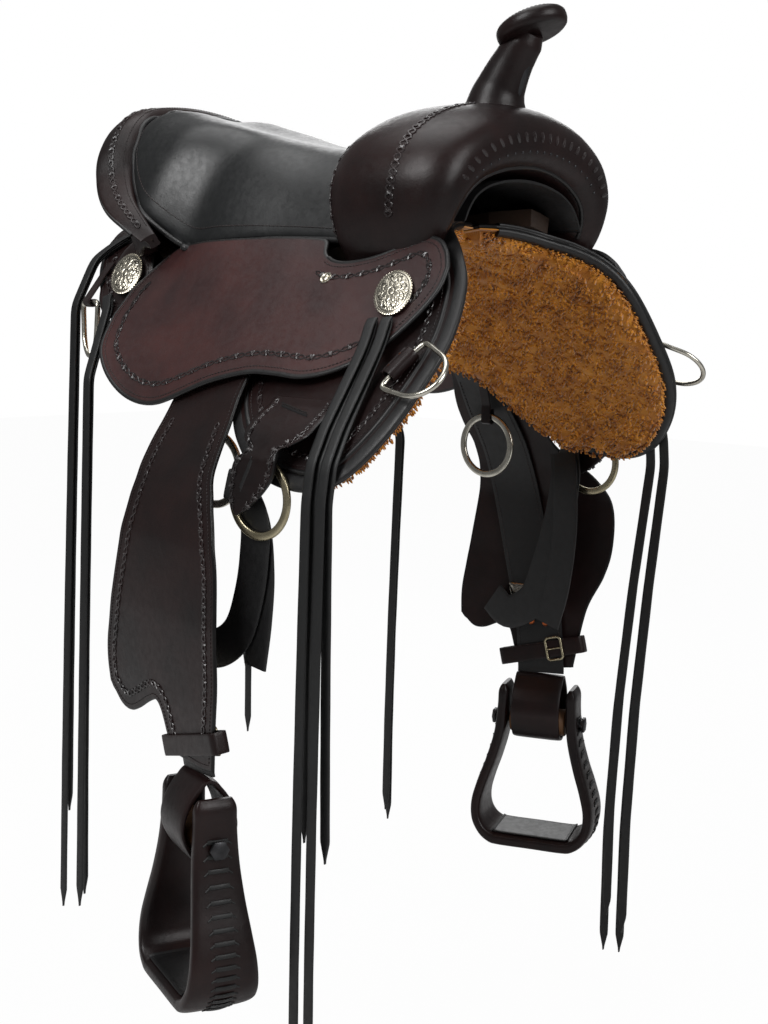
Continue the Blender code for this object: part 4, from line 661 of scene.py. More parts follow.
@dataclass(frozen=True)
class Leather:
    """Vegetable-tanned cowhide, drum-dyed, oiled and rubbed.

    Dye takes unevenly, so the colour drifts over a hand's width; the grain is a
    net of fine cells; the cut edges are bevelled, blacked and burnished.
    """

    name: str
    face: str
    shade: str
    edge: str = "0d0b0b"
    roughness: float = 0.40
    coat: float = 0.18
    grain_mm: float = 1.6
    grain: float = 0.10
    edge_mm: float = 3.4
    specular: float = 0.5

    def make(self) -> bpy.types.Material:
        """Builds the material."""
        made, tree, shader, place = begin(self.name)
        drift = add_node(tree, "TexNoise", {"Vector": place, "Scale": per_metre(90), "Detail": 4.0,
            "Roughness": 0.55})
        mottle = add_node(tree, "TexNoise", {"Vector": place, "Scale": per_metre(7), "Detail": 3.0})
        drift_steep = add_node(tree, "MapRange", {"Value": drift, "From Min": 0.36, "From Max": 0.64})
        base = add_node(tree, "Mix", {0: drift_steep, 6: colour(self.shade), 7: colour(self.face)},
            data_type="RGBA").outputs[2]
        fine = add_node(tree, "MapRange", {"Value": mottle, "From Min": 0.35, "From Max": 0.75,
            "To Min": 0.0, "To Max": 0.28})
        base = add_node(tree, "Mix", {0: fine, 6: base, 7: colour(self.shade)}, data_type="RGBA").outputs[2]
        rim = add_node(tree, "Attribute", attribute_name="from_edge")
        black = add_node(tree, "MapRange", {"Value": rim.outputs["Fac"], "From Min": self.edge_mm * 0.55,
            "From Max": self.edge_mm, "To Min": 1.0, "To Max": 0.0}, interpolation_type="SMOOTHSTEP")
        base = add_node(tree, "Mix", {0: black, 6: base, 7: colour(self.edge)}, data_type="RGBA").outputs[2]
        feed(shader, {"Base Color": base})
        rough = add_node(tree, "MapRange", {"Value": mottle, "From Min": 0.3, "From Max": 0.7,
            "To Min": self.roughness - 0.05, "To Max": self.roughness + 0.08})
        feed(shader, {"Roughness": rough})
        # the real grain is about a third of this, too fine to show at this size
        cells = add_node(tree, "TexVoronoi", {"Vector": place, "Scale": per_metre(self.grain_mm)},
            feature="DISTANCE_TO_EDGE")
        pores = add_node(tree, "MapRange", {"Value": cells, "From Max": 0.22})
        creases = add_node(tree, "TexNoise", {"Vector": place, "Scale": per_metre(16), "Detail": 5.0,
            "Roughness": 0.6, "Distortion": 0.5})
        low = add_node(tree, "Bump", {"Height": creases, "Strength": 0.10, "Distance": 0.003})
        bump = add_node(tree, "Bump", {"Height": pores, "Strength": self.grain, "Distance": 0.0006,
            "Normal": low})
        feed(shader, {"Normal": bump, "Coat Weight": self.coat, "Coat Roughness": 0.28,
            "Specular IOR Level": self.specular, "IOR": 1.5})
        return made


@dataclass(frozen=True)
class Fleece:
    """Dyed wool shearling, brushed into loose clumps, with painted shade in the hollows of the locks and
    deep in the pile.
    """

    name: str = "brushed wool shearling"
    # the colours are set darker throughout, as painted shade of the skirt's shaded underside; the last is
    # the colour of the painted shade in the hollows of the locks and deep in the pile
    tip: str = "f0a128"
    wool: str = "b86e10"
    root: str = "74420a"

    def make(self) -> bpy.types.Material:
        """Builds the material."""
        made, tree, shader, place = begin(self.name)
        clumps = add_node(tree, "TexNoise", {"Vector": place, "Scale": per_metre(24), "Detail": 5.0,
            "Roughness": 0.65})
        locks = add_node(tree, "TexNoise", {"Vector": place, "Scale": per_metre(4), "Detail": 4.0,
            "Roughness": 0.7})
        broad = add_node(tree, "MapRange", {"Value": clumps, "From Min": 0.36, "From Max": 0.62})
        base = add_node(tree, "Mix", {0: broad, 6: colour(self.wool), 7: colour(self.tip)},
            data_type="RGBA").outputs[2]
        depth = add_node(tree, "Attribute", attribute_name="from_edge")
        # painted shade: darker where the bump of the locks is low, in their hollows
        lock_hollow_shade = add_node(tree, "MapRange", {"Value": locks, "From Min": 0.60, "From Max": 0.40,
            "To Min": 0.0, "To Max": 0.38})
        # painted shade: darker down towards the backing and the roots of the locks, deep in the pile
        deep = add_node(tree, "MapRange", {"Value": depth.outputs["Fac"], "From Min": 0.0, "From Max": 1.0,
            "To Min": 0.55, "To Max": 0.0})
        dark = add_node(tree, "Math", {0: lock_hollow_shade, 1: deep.outputs["Result"]}, operation="MAXIMUM")
        base = add_node(tree, "Mix", {0: dark, 6: base, 7: colour(self.root)}, data_type="RGBA").outputs[2]
        feed(shader, {"Base Color": base})
        bump = add_node(tree, "Bump", {"Height": locks, "Strength": 0.5, "Distance": 0.002})
        feed(shader, {"Normal": bump, "Roughness": 0.95, "Sheen Weight": 0.5, "Sheen Roughness": 0.5})
        return made


@dataclass(frozen=True)
class Metal:
    """Nickel-plated fittings: polished, lightly tarnished in the recesses."""

    name: str
    bright: str = "d8d4c8"
    tarnish: str = "6b6656"
    roughness: float = 0.16
    tarnished: float = 0.35

    def make(self) -> bpy.types.Material:
        """Builds the material."""
        made, tree, shader, place = begin(self.name)
        film = add_node(tree, "TexNoise", {"Vector": place, "Scale": per_metre(14), "Detail": 5.0})
        share = add_node(tree, "MapRange", {"Value": film, "From Min": 0.42, "From Max": 0.72,
            "To Min": 0.0, "To Max": self.tarnished})
        deep = add_node(tree, "Attribute", attribute_name="from_edge")
        cut = add_node(tree, "MapRange", {"Value": deep.outputs["Fac"], "From Min": 0.0, "From Max": -1.0,
            "To Min": 0.0, "To Max": 0.85})
        both = add_node(tree, "Math", {0: share, 1: cut}, operation="MAXIMUM")
        base = add_node(tree, "Mix", {0: both, 6: colour(self.bright), 7: colour(self.tarnish)},
            data_type="RGBA").outputs[2]
        feed(shader, {"Base Color": base})
        scratches = add_node(tree, "TexNoise", {"Vector": place, "Scale": per_metre(1.1), "Detail": 2.0})
        rough = add_node(tree, "MapRange", {"Value": scratches, "From Min": 0.3, "From Max": 0.7,
            "To Min": self.roughness, "To Max": self.roughness + 0.12})
        feed(shader, {"Roughness": rough})
        bump = add_node(tree, "Bump", {"Height": scratches, "Strength": 0.05, "Distance": 0.0003})
        feed(shader, {"Normal": bump, "Metallic": 1.0})
        return made


@dataclass(frozen=True)
class Rawhide:
    """Rawhide laced wet over a wooden tree and varnished: cloudy, with long fibres, and set far darker than
    bare rawhide, so that the bars' ends in the gullet read dark.
    """

    name: str = "varnished rawhide over wood"
    pale: str = "33241a"
    deep: str = "21160f"

    def make(self) -> bpy.types.Material:
        """Builds the material."""
        made, tree, shader, place = begin(self.name)
        stretch = add_node(tree, "Mapping", {"Vector": place, "Scale": (1.0, 0.15, 1.0)})
        fibre = add_node(tree, "TexNoise", {"Vector": stretch, "Scale": per_metre(5), "Detail": 6.0,
            "Distortion": 0.6})
        base = add_node(tree, "Mix", {0: fibre, 6: colour(self.deep), 7: colour(self.pale)},
            data_type="RGBA").outputs[2]
        feed(shader, {"Base Color": base})
        bump = add_node(tree, "Bump", {"Height": fibre, "Strength": 0.2, "Distance": 0.001})
        feed(shader, {"Normal": bump, "Roughness": 0.5})
        return made


@dataclass
class Finishes:
    """Every material of the saddle, made once."""

    dark: bpy.types.Material
    jockey: bpy.types.Material
    black: bpy.types.Material
    seat: bpy.types.Material
    sole: bpy.types.Material
    tooled: bpy.types.Material
    lace: bpy.types.Material
    thread: bpy.types.Material
    fleece: bpy.types.Material
    nickel: bpy.types.Material
    silver: bpy.types.Material
    brass: bpy.types.Material
    copper: bpy.types.Material
    steel: bpy.types.Material
    rawhide: bpy.types.Material

    @classmethod
    def make(cls) -> "Finishes":
        """Makes them all."""
        looks = {
            "dark": Leather("oiled skirting leather, dark brown", "231413", "140c0c", roughness=0.36,
                coat=0.12, specular=0.24),
            "jockey": Leather("oiled skirting leather, red brown", "41211f", "2b1515", roughness=0.42,
                coat=0.12, edge_mm=5.0),
            "black": Leather("black harness leather", "131213", "0b0b0c", roughness=0.46, coat=0.08,
                edge_mm=0.6),
            "seat": Leather("black seat leather, smooth", "121415", "0d0f10", "080808", roughness=0.4,
                coat=0.1, grain_mm=1.2, grain=0.06, edge_mm=0.5),
            "sole": Leather("undyed sole leather", "b88d5e", "96693d", "6d4a2a", roughness=0.6, coat=0.0),
            "tooled": Leather("tooled leather, antiqued", "2a1c1c", "160f10", roughness=0.26, coat=0.45,
                grain=0.05, edge_mm=0.01),
            "lace": Leather("black latigo lace", "0f1011", "090a0a", roughness=0.5, coat=0.05,
                grain_mm=1.0, edge_mm=0.01),
            "thread": Leather("waxed thread, dark", "241514", "140c0c", roughness=0.55, coat=0.05,
                grain_mm=0.8, edge_mm=0.01),
            "fleece": Fleece(),
            "nickel": Metal("nickel plate, polished"),
            "silver": Metal("engraved nickel silver", "d2ccbc", "38342c", 0.22, 0.25),
            "brass": Metal("brass-tinted nickel plate", "bdb396", "6b5c38", 0.22, 0.3),
            "copper": Metal("copper rivet", "b4613a", "5c2c18", 0.3, 0.3),
            "steel": Metal("blackened forged steel", "4a4a4c", "242324", 0.4, 0.6),
            "rawhide": Rawhide(),
        }
        return cls(**{key: look.make() for key, look in looks.items()})


# trims that lie on a leather


def ring_faces(rings: int, size: int) -> Faces:
    """The faces of a small form made of rings of points, closed at both ends."""
    return [(size * i + j, size * i + (j + 1) % size, size * i + size + (j + 1) % size,
        size * i + size + j) for i in range(rings - 1) for j in range(size)] + [tuple(range(size))[::-1],
        tuple(range(size * (rings - 1), size * rings))]


def turned_points(profile: Points, size: int) -> list[tuple[float, float, float]]:
    """The points of a small turned form, from the radius and height of each ring."""
    return [(r * math.cos(a), r * math.sin(a), z) for r, z in profile for a in around(size)]


STITCH_POINTS = [(x, r * math.cos(a), r * math.sin(a)) for x, r in ((-0.5, 0.10), (-0.25, 0.2), (0.25, 0.2),
    (0.5, 0.10)) for a in (0.0, 1.2566, 2.5133, 3.7699, 5.0265)]
STITCH_FACES = ring_faces(4, 5)
DOME_POINTS = turned_points(((1.0, -0.3), (1.0, 0.1), (0.72, 0.42), (0.3, 0.58)), 10)
DOME_FACES = ring_faces(4, 10)


@dataclass
class Trim:
    """Stitches and tooled borders along a line on a leather."""

    path: Array
    normals: Array

    def again(self, pitch: float) -> "Trim":
        """The same line with points about a pitch apart."""
        count = max(3, int(round(running(self.path)[-1] / pitch)) + 1)
        shares = np.linspace(0, 1, count)
        run = running(self.path)
        normals = np.stack([np.interp(shares * run[-1], run, self.normals[:, k]) for k in range(3)], 1)
        return Trim(at_shares(self.path, shares), unit(normals))

    def stitches(self, shape: Shape, pitch: float = 0.0046, size: float = 0.0032) -> None:
        """Sews thread along the line, each stitch half sunk in the leather."""
        line = self.again(pitch)
        along = np.gradient(line.path, axis=0)
        shape.stamp(STITCH_POINTS, STITCH_FACES, line.path + line.normals * 0.0002, along, line.normals,
            size, 9.0)

    def wire(self, shape: Shape, wide: float = 0.0021, thick: float = 0.00085,
        twist: float = 0.022) -> None:
        """Tools the twisted-wire border: two strands that cross, with a short barb at each third twist."""
        line = self.again(0.0022)
        run = running(line.path)
        turns = max(1, round(run[-1] / twist))
        phase = run / run[-1] * turns * 2 * math.pi
        across = unit(np.cross(line.normals, np.gradient(line.path, axis=0)))
        for sign in (1, -1):
            off = across * (np.sin(phase) * wide * sign)[:, None]
            high = line.normals * ((0.00015 + 0.0004 * (1 + sign * np.cos(phase)) / 2))[:, None]
            shape.tube(line.path + off + high, line.normals, thick, thick * 0.8, 6, tag=9.0)
        spots = np.interp((np.arange(turns) + 0.5) * run[-1] / turns, run, np.arange(len(run))).astype(int)
        along = np.gradient(line.path, axis=0)
        for lean in (0.9, -0.9):
            way = unit(along[spots]) * math.cos(lean * 1.2) + across[spots] * math.sin(lean * 1.2)
            shape.stamp(STITCH_POINTS, STITCH_FACES, line.path[spots] + line.normals[spots] * 0.0004, way,
                line.normals[spots], 0.0078, 9.0)
        between = np.interp(np.arange(1, turns) * run[-1] / turns, run, np.arange(len(run))).astype(int)
        if len(between):
            shape.stamp(DOME_POINTS, DOME_FACES, line.path[between], along[between], line.normals[between],
                0.00125, 9.0)


@dataclass
class Sheet:
    """A leather cut to an outline on a surface, with rounded, burnished edges.

    Attributes:
        surface: gives points from two flat coordinates and a lift.
        first, second: the two flat coordinates on a grid.
        half: half the leather's thickness.
        centre: the lift of its middle.
    """

    surface: Surface
    first: Array
    second: Array
    half: float
    centre: float = 0.0

    @property
    def outline(self) -> Array:
        """The closed outline in flat coordinates."""
        a, b = self.first, self.second
        return np.stack([np.r_[k[:, 0], k[-1, 1:], k[::-1, -1][1:], k[0, ::-1][1:-1]] for k in (a, b)], 1)

    def add_to(self, shape: Shape) -> Shape:
        """Adds the leather to a shape."""
        flat = np.stack([self.first.ravel(), self.second.ravel()], 1)
        far = outline_distance(flat, self.outline).reshape(self.first.shape)
        far[[0, -1]], far[:, [0, -1]] = 0.0, 0.0
        high = self.half * np.maximum(np.sqrt(1 - (1 - np.clip(far / self.half, 0, 1)) ** 2), 0.14)
        outer = self.surface(self.first, self.second, self.centre + high)
        inner = self.surface(self.first, self.second, self.centre - high)
        return shape.plate(outer, inner, far * 1000)

    def line(self, distance: float, keep: Optional[Callable[[Array, Array], Array]] = None,
        lift: float = 0.0) -> Trim:
        """A line on its outer face, a distance in from the outline.

        Args:
            distance: how far in.
            keep: says which points of the flat line are kept.
            lift: how far above the face.

        Returns:
            The line with its normals.
        """
        flat = inset(self.outline, distance)
        if keep is not None:
            flat = longest_run(flat, keep(flat[:, 0], flat[:, 1]))
        a, b = flat[:, 0], flat[:, 1]
        face = np.full(len(a), self.centre + self.half + lift)
        path = self.surface(a, b, face)
        return Trim(path, unit(self.surface(a, b, face + 0.002) - path))


def cut_grid(upper: Points, lower: Points, columns: int, rows: int) -> tuple[Array, Array]:
    """Flat coordinates between two edges, closer together near every edge.

    Args:
        upper: points of the upper edge.
        lower: points of the lower edge.
        columns: how many columns.
        rows: how many rows.

    Returns:
        The two coordinates, each as columns by rows.
    """
    def shares(count: int, rim: float) -> Array:
        near = np.array([0.0, 0.12, 0.35, 0.65, 1.0, 1.6]) * rim
        return np.r_[near, np.linspace(near[-1], 1 - near[-1], count)[1:-1], (1 - near)[::-1]]

    along = shares(columns, 0.0028 / running(np.asarray(upper, float))[-1])
    top, low = smooth(upper, along), smooth(lower, along)
    across = shares(rows, min(0.06, 0.0028 / np.median(np.linalg.norm(top - low, axis=1))))
    grid = top[:, None] * (1 - across[None, :, None]) + low[:, None] * across[None, :, None]
    return grid[..., 0], grid[..., 1]


# sub-assemblies


@dataclass
class SubAssembly:
    """Some pieces that are built together.

    Attributes:
        finishes: the materials.
        side: the side that they are on, or None in the middle.
    """

    finishes: Finishes
    side: Optional[Side] = None

    @property
    def tail(self) -> str:
        """What the names of this side's pieces, solids and bodies end with."""
        return f"_{self.side.word}" if self.side else ""

    def put(self, shape: Shape, name: str, finish: bpy.types.Material, slot: str, *nodes: str,
        body: str = "saddle", creases: float = 50.0) -> bpy.types.Object:
        """Makes a piece and lets it ride on its body.

        Args:
            shape: its points and faces.
            name: its name without the side.
            finish: its material.
            slot: the record's material slot.
            nodes: the solids that it stands for, without the side.
            body: the body's name.
            creases: faces that meet at more than this angle keep a sharp edge, in degrees.

        Returns:
            The piece.
        """
        made = shape.make(name + self.tail, finish, self.side or Side.LEFT, creases)
        return settle(made, body, slot, *(node + self.tail for node in nodes))


def fork_rings(grow: float, sides: int = 72, power: float = 2.5) -> Array:
    """Rings of the fork from the right foot over the top to the left one, grown outwards."""
    half = []
    for outer, inner, front, rear in FORK_STATIONS:
        outer, inner = np.array(outer), np.array(inner)
        middle, reach = (outer + inner) / 2, (outer - inner) / 2
        size = np.linalg.norm(reach)
        reach = reach / size * (size + grow)
        c, s = squarish(around(sides), power)
        deep, centre = (rear - front) / 2 + grow, (rear + front) / 2
        half.append(np.stack([middle[0] + reach[0] * c, centre + deep * s, middle[1] + reach[1] * c], 1))
    rings = np.array([ring * (-1, 1, 1) for ring in half[:-1]] + half[::-1])
    return spread(rings, np.linspace(0, len(rings) - 1, 141))


def cantle_rings(grow: float, sides: int = 88) -> Array:
    """Rings of the cantle from the right wing to the left one, grown outwards."""
    loop = np.array(CANTLE_LOOP)
    wrapped = np.vstack([loop[-3:], loop, loop[:3]])
    round_it = spread(wrapped, 3 + np.linspace(0, len(loop), sides, endpoint=False))
    half = []
    for rim, base, thick in CANTLE_STATIONS:
        rim, base = np.array(rim), np.array(base)
        height = np.linalg.norm(rim - base)
        up = (rim - base) / height
        away = np.array([rim[0] * 1.1, rim[1] - 0.06, 0.0])
        away = unit(away - up * (away @ up))
        a, b = round_it[:, :1], round_it[:, 1:]
        half.append(base + up * (b * height + grow * (2 * b - 1)) + away * a * (thick + grow))
    rings = np.array([ring * (-1, 1, 1) for ring in half[:0:-1]] + half)
    return spread(rings, np.linspace(0, len(rings) - 1, 141))


def grid_line(grid: Array, rows: Array, columns: Array, lift: float = 0.0) -> Trim:
    """A line over a grid of points, given by row and column numbers, with its outward normals."""
    columns = np.broadcast_to(columns, np.shape(rows))
    along = np.gradient(grid, axis=0)
    over = np.roll(grid, -1, 1) - np.roll(grid, 1, 1)
    normals = unit(np.cross(along, over))
    middle = grid.mean(axis=1, keepdims=True)
    flip = np.sign(((grid - middle) * normals).sum(-1, keepdims=True).mean())
    normals = normals * flip
    size = grid.shape[1]

    def at(table: Array) -> Array:
        i, j = np.clip(rows, 0, len(grid) - 1.001), columns % size
        a, b = np.floor(i).astype(int), np.floor(j).astype(int)
        u, v = (i - a)[:, None], (j - b)[:, None]
        n = (b + 1) % size
        return (table[a, b] * (1 - u) * (1 - v) + table[a + 1, b] * u * (1 - v)
            + table[a, n] * (1 - u) * v + table[a + 1, n] * u * v)

    out = unit(at(normals))
    return Trim(at(grid) + out * lift, out)


@dataclass
class Fork(SubAssembly):
    """The swell-topped fork under its stretched leather, with the gullet's lining and tacks."""

    tack_radius: float = 0.0017

    def build(self) -> None:
        """Builds the cover, its tooling and binding, and the lining."""
        grid = fork_rings(0.0)
        inner = fork_rings(-THICK.cover)
        shape = Shape()
        rings, size = grid.shape[:2]
        i, j = np.meshgrid(np.arange(rings - 1), np.arange(size), indexing="ij")
        a, b, k = i * size, (i + 1) * size, (j + 1) % size
        shape.add(grid, np.stack([a + j, a + k, b + k, b + j], -1).reshape(-1, 4).tolist(), 20.0)
        shape.add(inner, np.stack([a + j, b + j, b + k, a + k], -1).reshape(-1, 4).tolist(), 20.0)
        self.put(shape, "fork_leather", self.finishes.dark, "dark_leather", "fork_cover")
        quarter = size / 4
        rows = np.linspace(9, rings - 10, 400)
        tooled = Shape()
        ease = np.clip((np.minimum(rows, rings - 1 - rows) - 9) / 30, 0, 1)
        for columns, start, end in ((quarter * -0.12, 16, 61), (quarter * -0.12, rings - 62, rings - 17)):
            part = rows[(rows > start) & (rows < end)]
            grid_line(grid, part, columns).wire(tooled, 0.0046, 0.0013, 0.017)
        grid_line(grid, rows, quarter * 0.66).wire(tooled, 0.0018, 0.0009, 0.016)
        self.put(tooled, "fork_tooling", self.finishes.tooled, "dark_leather")
        binding = Shape()
        line = grid_line(grid, rows, quarter * 0.93)
        binding.tube(line.path, line.normals, 0.0030, 0.0026, 10)
        line = grid_line(grid, rows, quarter * (-1.35 - 0.1 * ease))
        binding.tube(line.path, line.normals, 0.0024, 0.0022, 10)
        self.put(binding, "fork_binding", self.finishes.black, "black_leather")
        self.front(grid, quarter)
        self.lining()

    def front(self, grid: Array, quarter: float) -> None:
        """Sets tacks and pressed slits round the gullet's mouth."""
        tacks, slits = Shape(), Shape()
        rows = np.linspace(34, len(grid) - 35, 19)
        line = grid_line(grid, rows, -quarter * 1.16)
        along = np.gradient(line.path, axis=0)
        tacks.stamp(DOME_POINTS, DOME_FACES, line.path, along, line.normals, self.tack_radius, 0.0)
        self.put(tacks, "gullet_tacks", self.finishes.steel, "forged_steel")
        rows = np.linspace(31, len(grid) - 32, 22)
        low = grid_line(grid, rows, -quarter * 1.02)
        high = grid_line(grid, rows, -quarter * 0.94)
        slits.stamp(STITCH_POINTS, STITCH_FACES, (low.path + high.path) / 2, high.path - low.path,
            low.normals, 0.0105, 9.0)
        self.put(slits, "gullet_slits", self.finishes.tooled, "dark_leather")

    def lining(self) -> None:
        """Builds the black leather that lines the gullet."""
        line = [(i, o) for o, i, _, _ in FORK_STATIONS[1:]]
        arch = [((-i[0], i[1]), (-o[0], o[1])) for i, o in line[:-1]] + line[::-1]
        outer, inner = [], []
        for inside, outside in arch:
            inside, outside = np.array(inside), np.array(outside)
            inward = unit(inside - outside)
            for rows, depth in ((outer, THICK.gap), (inner, THICK.gap + THICK.lining)):
                x, z = inside + inward * depth
                rows.append([(x, y, z) for y in np.linspace(-0.232, -0.105, 12)])
        at = np.linspace(0, len(outer) - 1, 90)
        shape = Shape().plate(spread(np.array(inner), at), spread(np.array(outer), at), 9.0)
        self.put(shape, "gullet_leather", self.finishes.black, "black_leather", "gullet_lining")


@dataclass
class Horn(SubAssembly):
    """The horn: a leather-wrapped neck and a flat, tilted cap."""

    length: float = 0.080
    width: float = 0.068
    thickness: float = 0.018
    tilt: float = math.radians(20)
    centre: tuple[float, float, float] = (0.0, -0.231, 0.259)
    wrapped: float = 0.185

    def build(self) -> None:
        """Builds neck, wrap and cap."""
        up = np.array([0.0, math.sin(self.tilt), math.cos(self.tilt)])
        fore = np.array([0.0, -up[2], up[1]])
        path = smooth(((0, -0.184, 0.150), (0, -0.186, 0.166), (0, -0.190, 0.190), (0, -0.201, 0.213),
            (0, -0.214, 0.233), (0, -0.2225, 0.2445), (0, -0.2300, 0.2550)), 40)
        radii = np.interp(np.linspace(0, 1, 40), (0, 0.08, 0.2, 0.45, 0.7, 0.9, 1),
            (0.046, 0.0415, 0.0345, 0.0265, 0.0220, 0.0200, 0.0150))
        neck = Shape().tube(path, AWAY, radii, radii, 40, tag=20.0)
        self.put(neck, "horn_neck_leather", self.finishes.dark, "dark_leather", "horn_neck")
        k = int(self.wrapped * 39)
        ring = self.ring(path[k], path[k + 1] - path[k], radii[k] + 0.0004)
        wrap = Shape().tube(ring, unit(ring - path[k]), 0.0016, 0.0011, closed=True)
        self.put(wrap, "horn_wrap", self.finishes.black, "black_leather")
        seam = Shape()
        back = path[8:34] + np.array([0.0, 1.0, 0.35]) * radii[8:34, None] * 0.94
        Trim(back, np.tile([0.0, 0.95, 0.3], (len(back), 1))).stitches(seam, 0.0046, 0.0034)
        rim = np.array([self.rim_point(up, fore, a, 0.80, 0.53) for a in np.linspace(0, 2 * math.pi, 120)])
        Trim(rim, np.tile(up, (len(rim), 1))).stitches(seam, 0.0044, 0.0030)
        self.put(seam, "horn_stitches", self.finishes.thread, "dark_leather")
        cap = Shape()
        rings = []
        profile = ((-0.5, 0.80), (-0.47, 0.90), (-0.36, 0.965), (-0.15, 0.995), (0.05, 1.0), (0.25, 0.985),
            (0.40, 0.94), (0.48, 0.88), (0.515, 0.80), (0.53, 0.6), (0.54, 0.25))
        for rise, share in profile:
            rings.append([self.rim_point(up, fore, a, share, rise) for a in around(64)])
        cap.loft(np.array(rings), tag=20.0)
        self.put(cap, "horn_cap_leather", self.finishes.dark, "dark_leather", "horn_cap")

    def rim_point(self, up: Array, fore: Array, angle: float, share: float, rise: float) -> Array:
        """A point of the cap at an angle, a share of its outline and a height in thicknesses."""
        return (np.array(self.centre) + up * rise * self.thickness + fore * self.length / 2 * share
            * math.cos(angle) + AWAY * self.width / 2 * share * math.sin(angle))

    def ring(self, centre: Array, axis: Array, radius: float) -> Array:
        """A circle of points square to an axis in the middle plane."""
        axis = unit(axis)
        up = np.cross([1.0, 0.0, 0.0], axis)
        a = around(48)[:, None]
        return centre + AWAY * radius * np.cos(a) + up * radius * np.sin(a)


@dataclass
class Cantle(SubAssembly):
    """The cantle and its roll, with a tooled border and the seam beside the seat."""

    def build(self) -> None:
        """Builds the leather, its tooling and its stitches."""
        grid = cantle_rings(0.0)
        shape = Shape().loft(grid, tag=20.0)
        self.put(shape, "cantle_leather", self.finishes.dark, "dark_leather", "cantle_cover")
        per = grid.shape[1] / len(CANTLE_LOOP)
        rows = np.linspace(5, len(grid) - 6, 500)
        tooled, sewn = Shape(), Shape()
        grid_line(grid, rows, per * 4.55).wire(tooled, 0.0030, 0.0011, 0.018)
        grid_line(grid, rows, per * 3.45).stitches(sewn)
        grid_line(grid, rows, per * 7.2).stitches(sewn, 0.0050, 0.0036)
        self.put(tooled, "cantle_tooling", self.finishes.tooled, "dark_leather")
        self.put(sewn, "cantle_stitches", self.finishes.thread, "dark_leather")
        bead = Shape()
        line = grid_line(grid, rows, per * 6.9)
        bead.tube(line.path, line.normals, 0.0026, 0.0022, 10)
        self.put(bead, "cantle_binding", self.finishes.black, "black_leather")


def cantle_face(station: tuple, share: float, proud: float) -> Array:
    """A point on the cantle's front face: a share of its height up, a distance in front."""
    rim, base, thick = station
    rim, base = np.array(rim), np.array(base)
    up = rim - base
    away = np.array([rim[0] * 1.1, rim[1] - 0.06, 0.0])
    away = unit(away - up * (away @ up) / (up @ up))
    return base + up * share - away * (thick * 1.1 + proud)


@dataclass
class Seat(SubAssembly):
    """The padded seat: foam under one smooth black leather, crowned, with a rolled welt.

    Attributes:
        edge: its thickness at the edge.
        middle: its thickness in the middle.
        roll: how far in from the edge it is rounded down.
        crown: how far the foam stands up between the edges.
    """

    edge: float = 0.006
    middle: float = 0.018
    roll: float = 0.013
    crown: float = 0.0035
    columns: int = 101
    rows: int = 67

    def form(self) -> tuple[Array, Array]:
        """The pad's top and under surfaces as grids of points."""
        side = [JOCKEY.point(y, s) for y, s in ((-0.085, 0.0), (-0.05, 0.0), (0.0, 0.001), (0.05, 0.003),
            (0.10, 0.005), (0.145, 0.006))]
        side += [cantle_face(station, 0.92, 0.001) for station in CANTLE_STATIONS[6:0:-1]]
        ridge = [(0.0, y, z) for y, z in SEAT_MIDDLE]
        ridge += [cantle_face(CANTLE_STATIONS[0], share, 0.003) for share in (0.80, 0.93)]
        side, ridge = smooth(side, self.columns), smooth(ridge, self.columns)
        v = np.sin(np.linspace(-1, 1, self.rows) * math.pi / 2)[None]
        t = abs(v)
        part = np.linspace(0, 1, self.columns)[:, None]
        y = ridge[:, 1:2] + (side[:, 1:2] - ridge[:, 1:2]) * t ** 2
        z = ridge[:, 2:] + (side[:, 2:] - ridge[:, 2:]) * t ** (2.6 + 1.9 * np.minimum(1.0, part / 0.5))
        dish = np.array(SEAT_DISH)
        z = z + np.interp(y, dish[:, 0], dish[:, 1]) * 4 * t ** 2 * (1 - t ** 2)
        top = np.stack([side[:, :1] * v + 0 * y, y, z], -1)
        for _ in range(30):
            inner = (top[:-2, 1:-1] + top[2:, 1:-1] + top[1:-1, :-2] + top[1:-1, 2:]) / 4
            top[1:-1, 1:-1] = (top[1:-1, 1:-1] + inner) / 2
        normal = unit(np.cross(np.gradient(top, axis=1), np.gradient(top, axis=0)))
        normal = normal * np.where(normal[..., 2:] < 0, -1.0, 1.0)
        depth = self.edge + (self.middle - self.edge) * (1 - t ** 4) + 0 * y
        under = top - normal * depth[..., None]
        over = np.linalg.norm(np.diff(top, axis=1), axis=2)
        from_left = np.concatenate([np.zeros((self.columns, 1)), np.cumsum(over, 1)], 1)
        far = np.minimum(from_left, from_left[:, -1:] - from_left)
        near_end = np.linalg.norm(top - top[-1:], axis=2)
        far = np.minimum(far, near_end)
        fold = np.sqrt(np.maximum(0.0, 1 - (1 - np.clip(far / self.roll, 0, 1)) ** 2))
        swell = self.crown * np.clip(far / 0.05, 0, 1) ** 0.7 * (1 - 0.5 * np.clip(far / 0.12, 0, 1))
        top = under + (top - under) * (0.30 + 0.70 * fold)[..., None] + normal * swell[..., None]
        return top, under

    def build(self) -> None:
        """Builds the pad, its welt and its stitches."""
        top, under = self.form()
        pad = self.put(Shape().plate(top, under, 9.0), "seat_cushion", self.finishes.seat,
            "black_seat_leather", "seat_pad", creases=60)
        rim = np.concatenate([top[:, 0], top[-1, 1:], top[::-1, -1][1:]])
        low = np.concatenate([under[:, 0], under[-1, 1:], under[::-1, -1][1:]])
        welt = Shape().tube(even(rim * 0.6 + low * 0.4, 0.004), (0.0, -0.25, 1.0), 0.0042, 0.0042, 10,
            tag=9.0)
        self.put(welt, "seat_welt", self.finishes.black, "black_seat_leather")
        sewn = Shape()
        for j in (5, self.rows - 6):
            line = Trim(top[3:, j], unit(np.cross(np.gradient(top[3:, j], axis=0),
                top[3:, j + 1] - top[3:, j - 1])))
            line.normals = line.normals * np.where(line.normals[:, 2:] < 0, -1.0, 1.0)
            line.stitches(sewn, 0.0050, 0.0040)
        self.put(sewn, "seat_stitches", self.finishes.thread, "black_seat_leather")


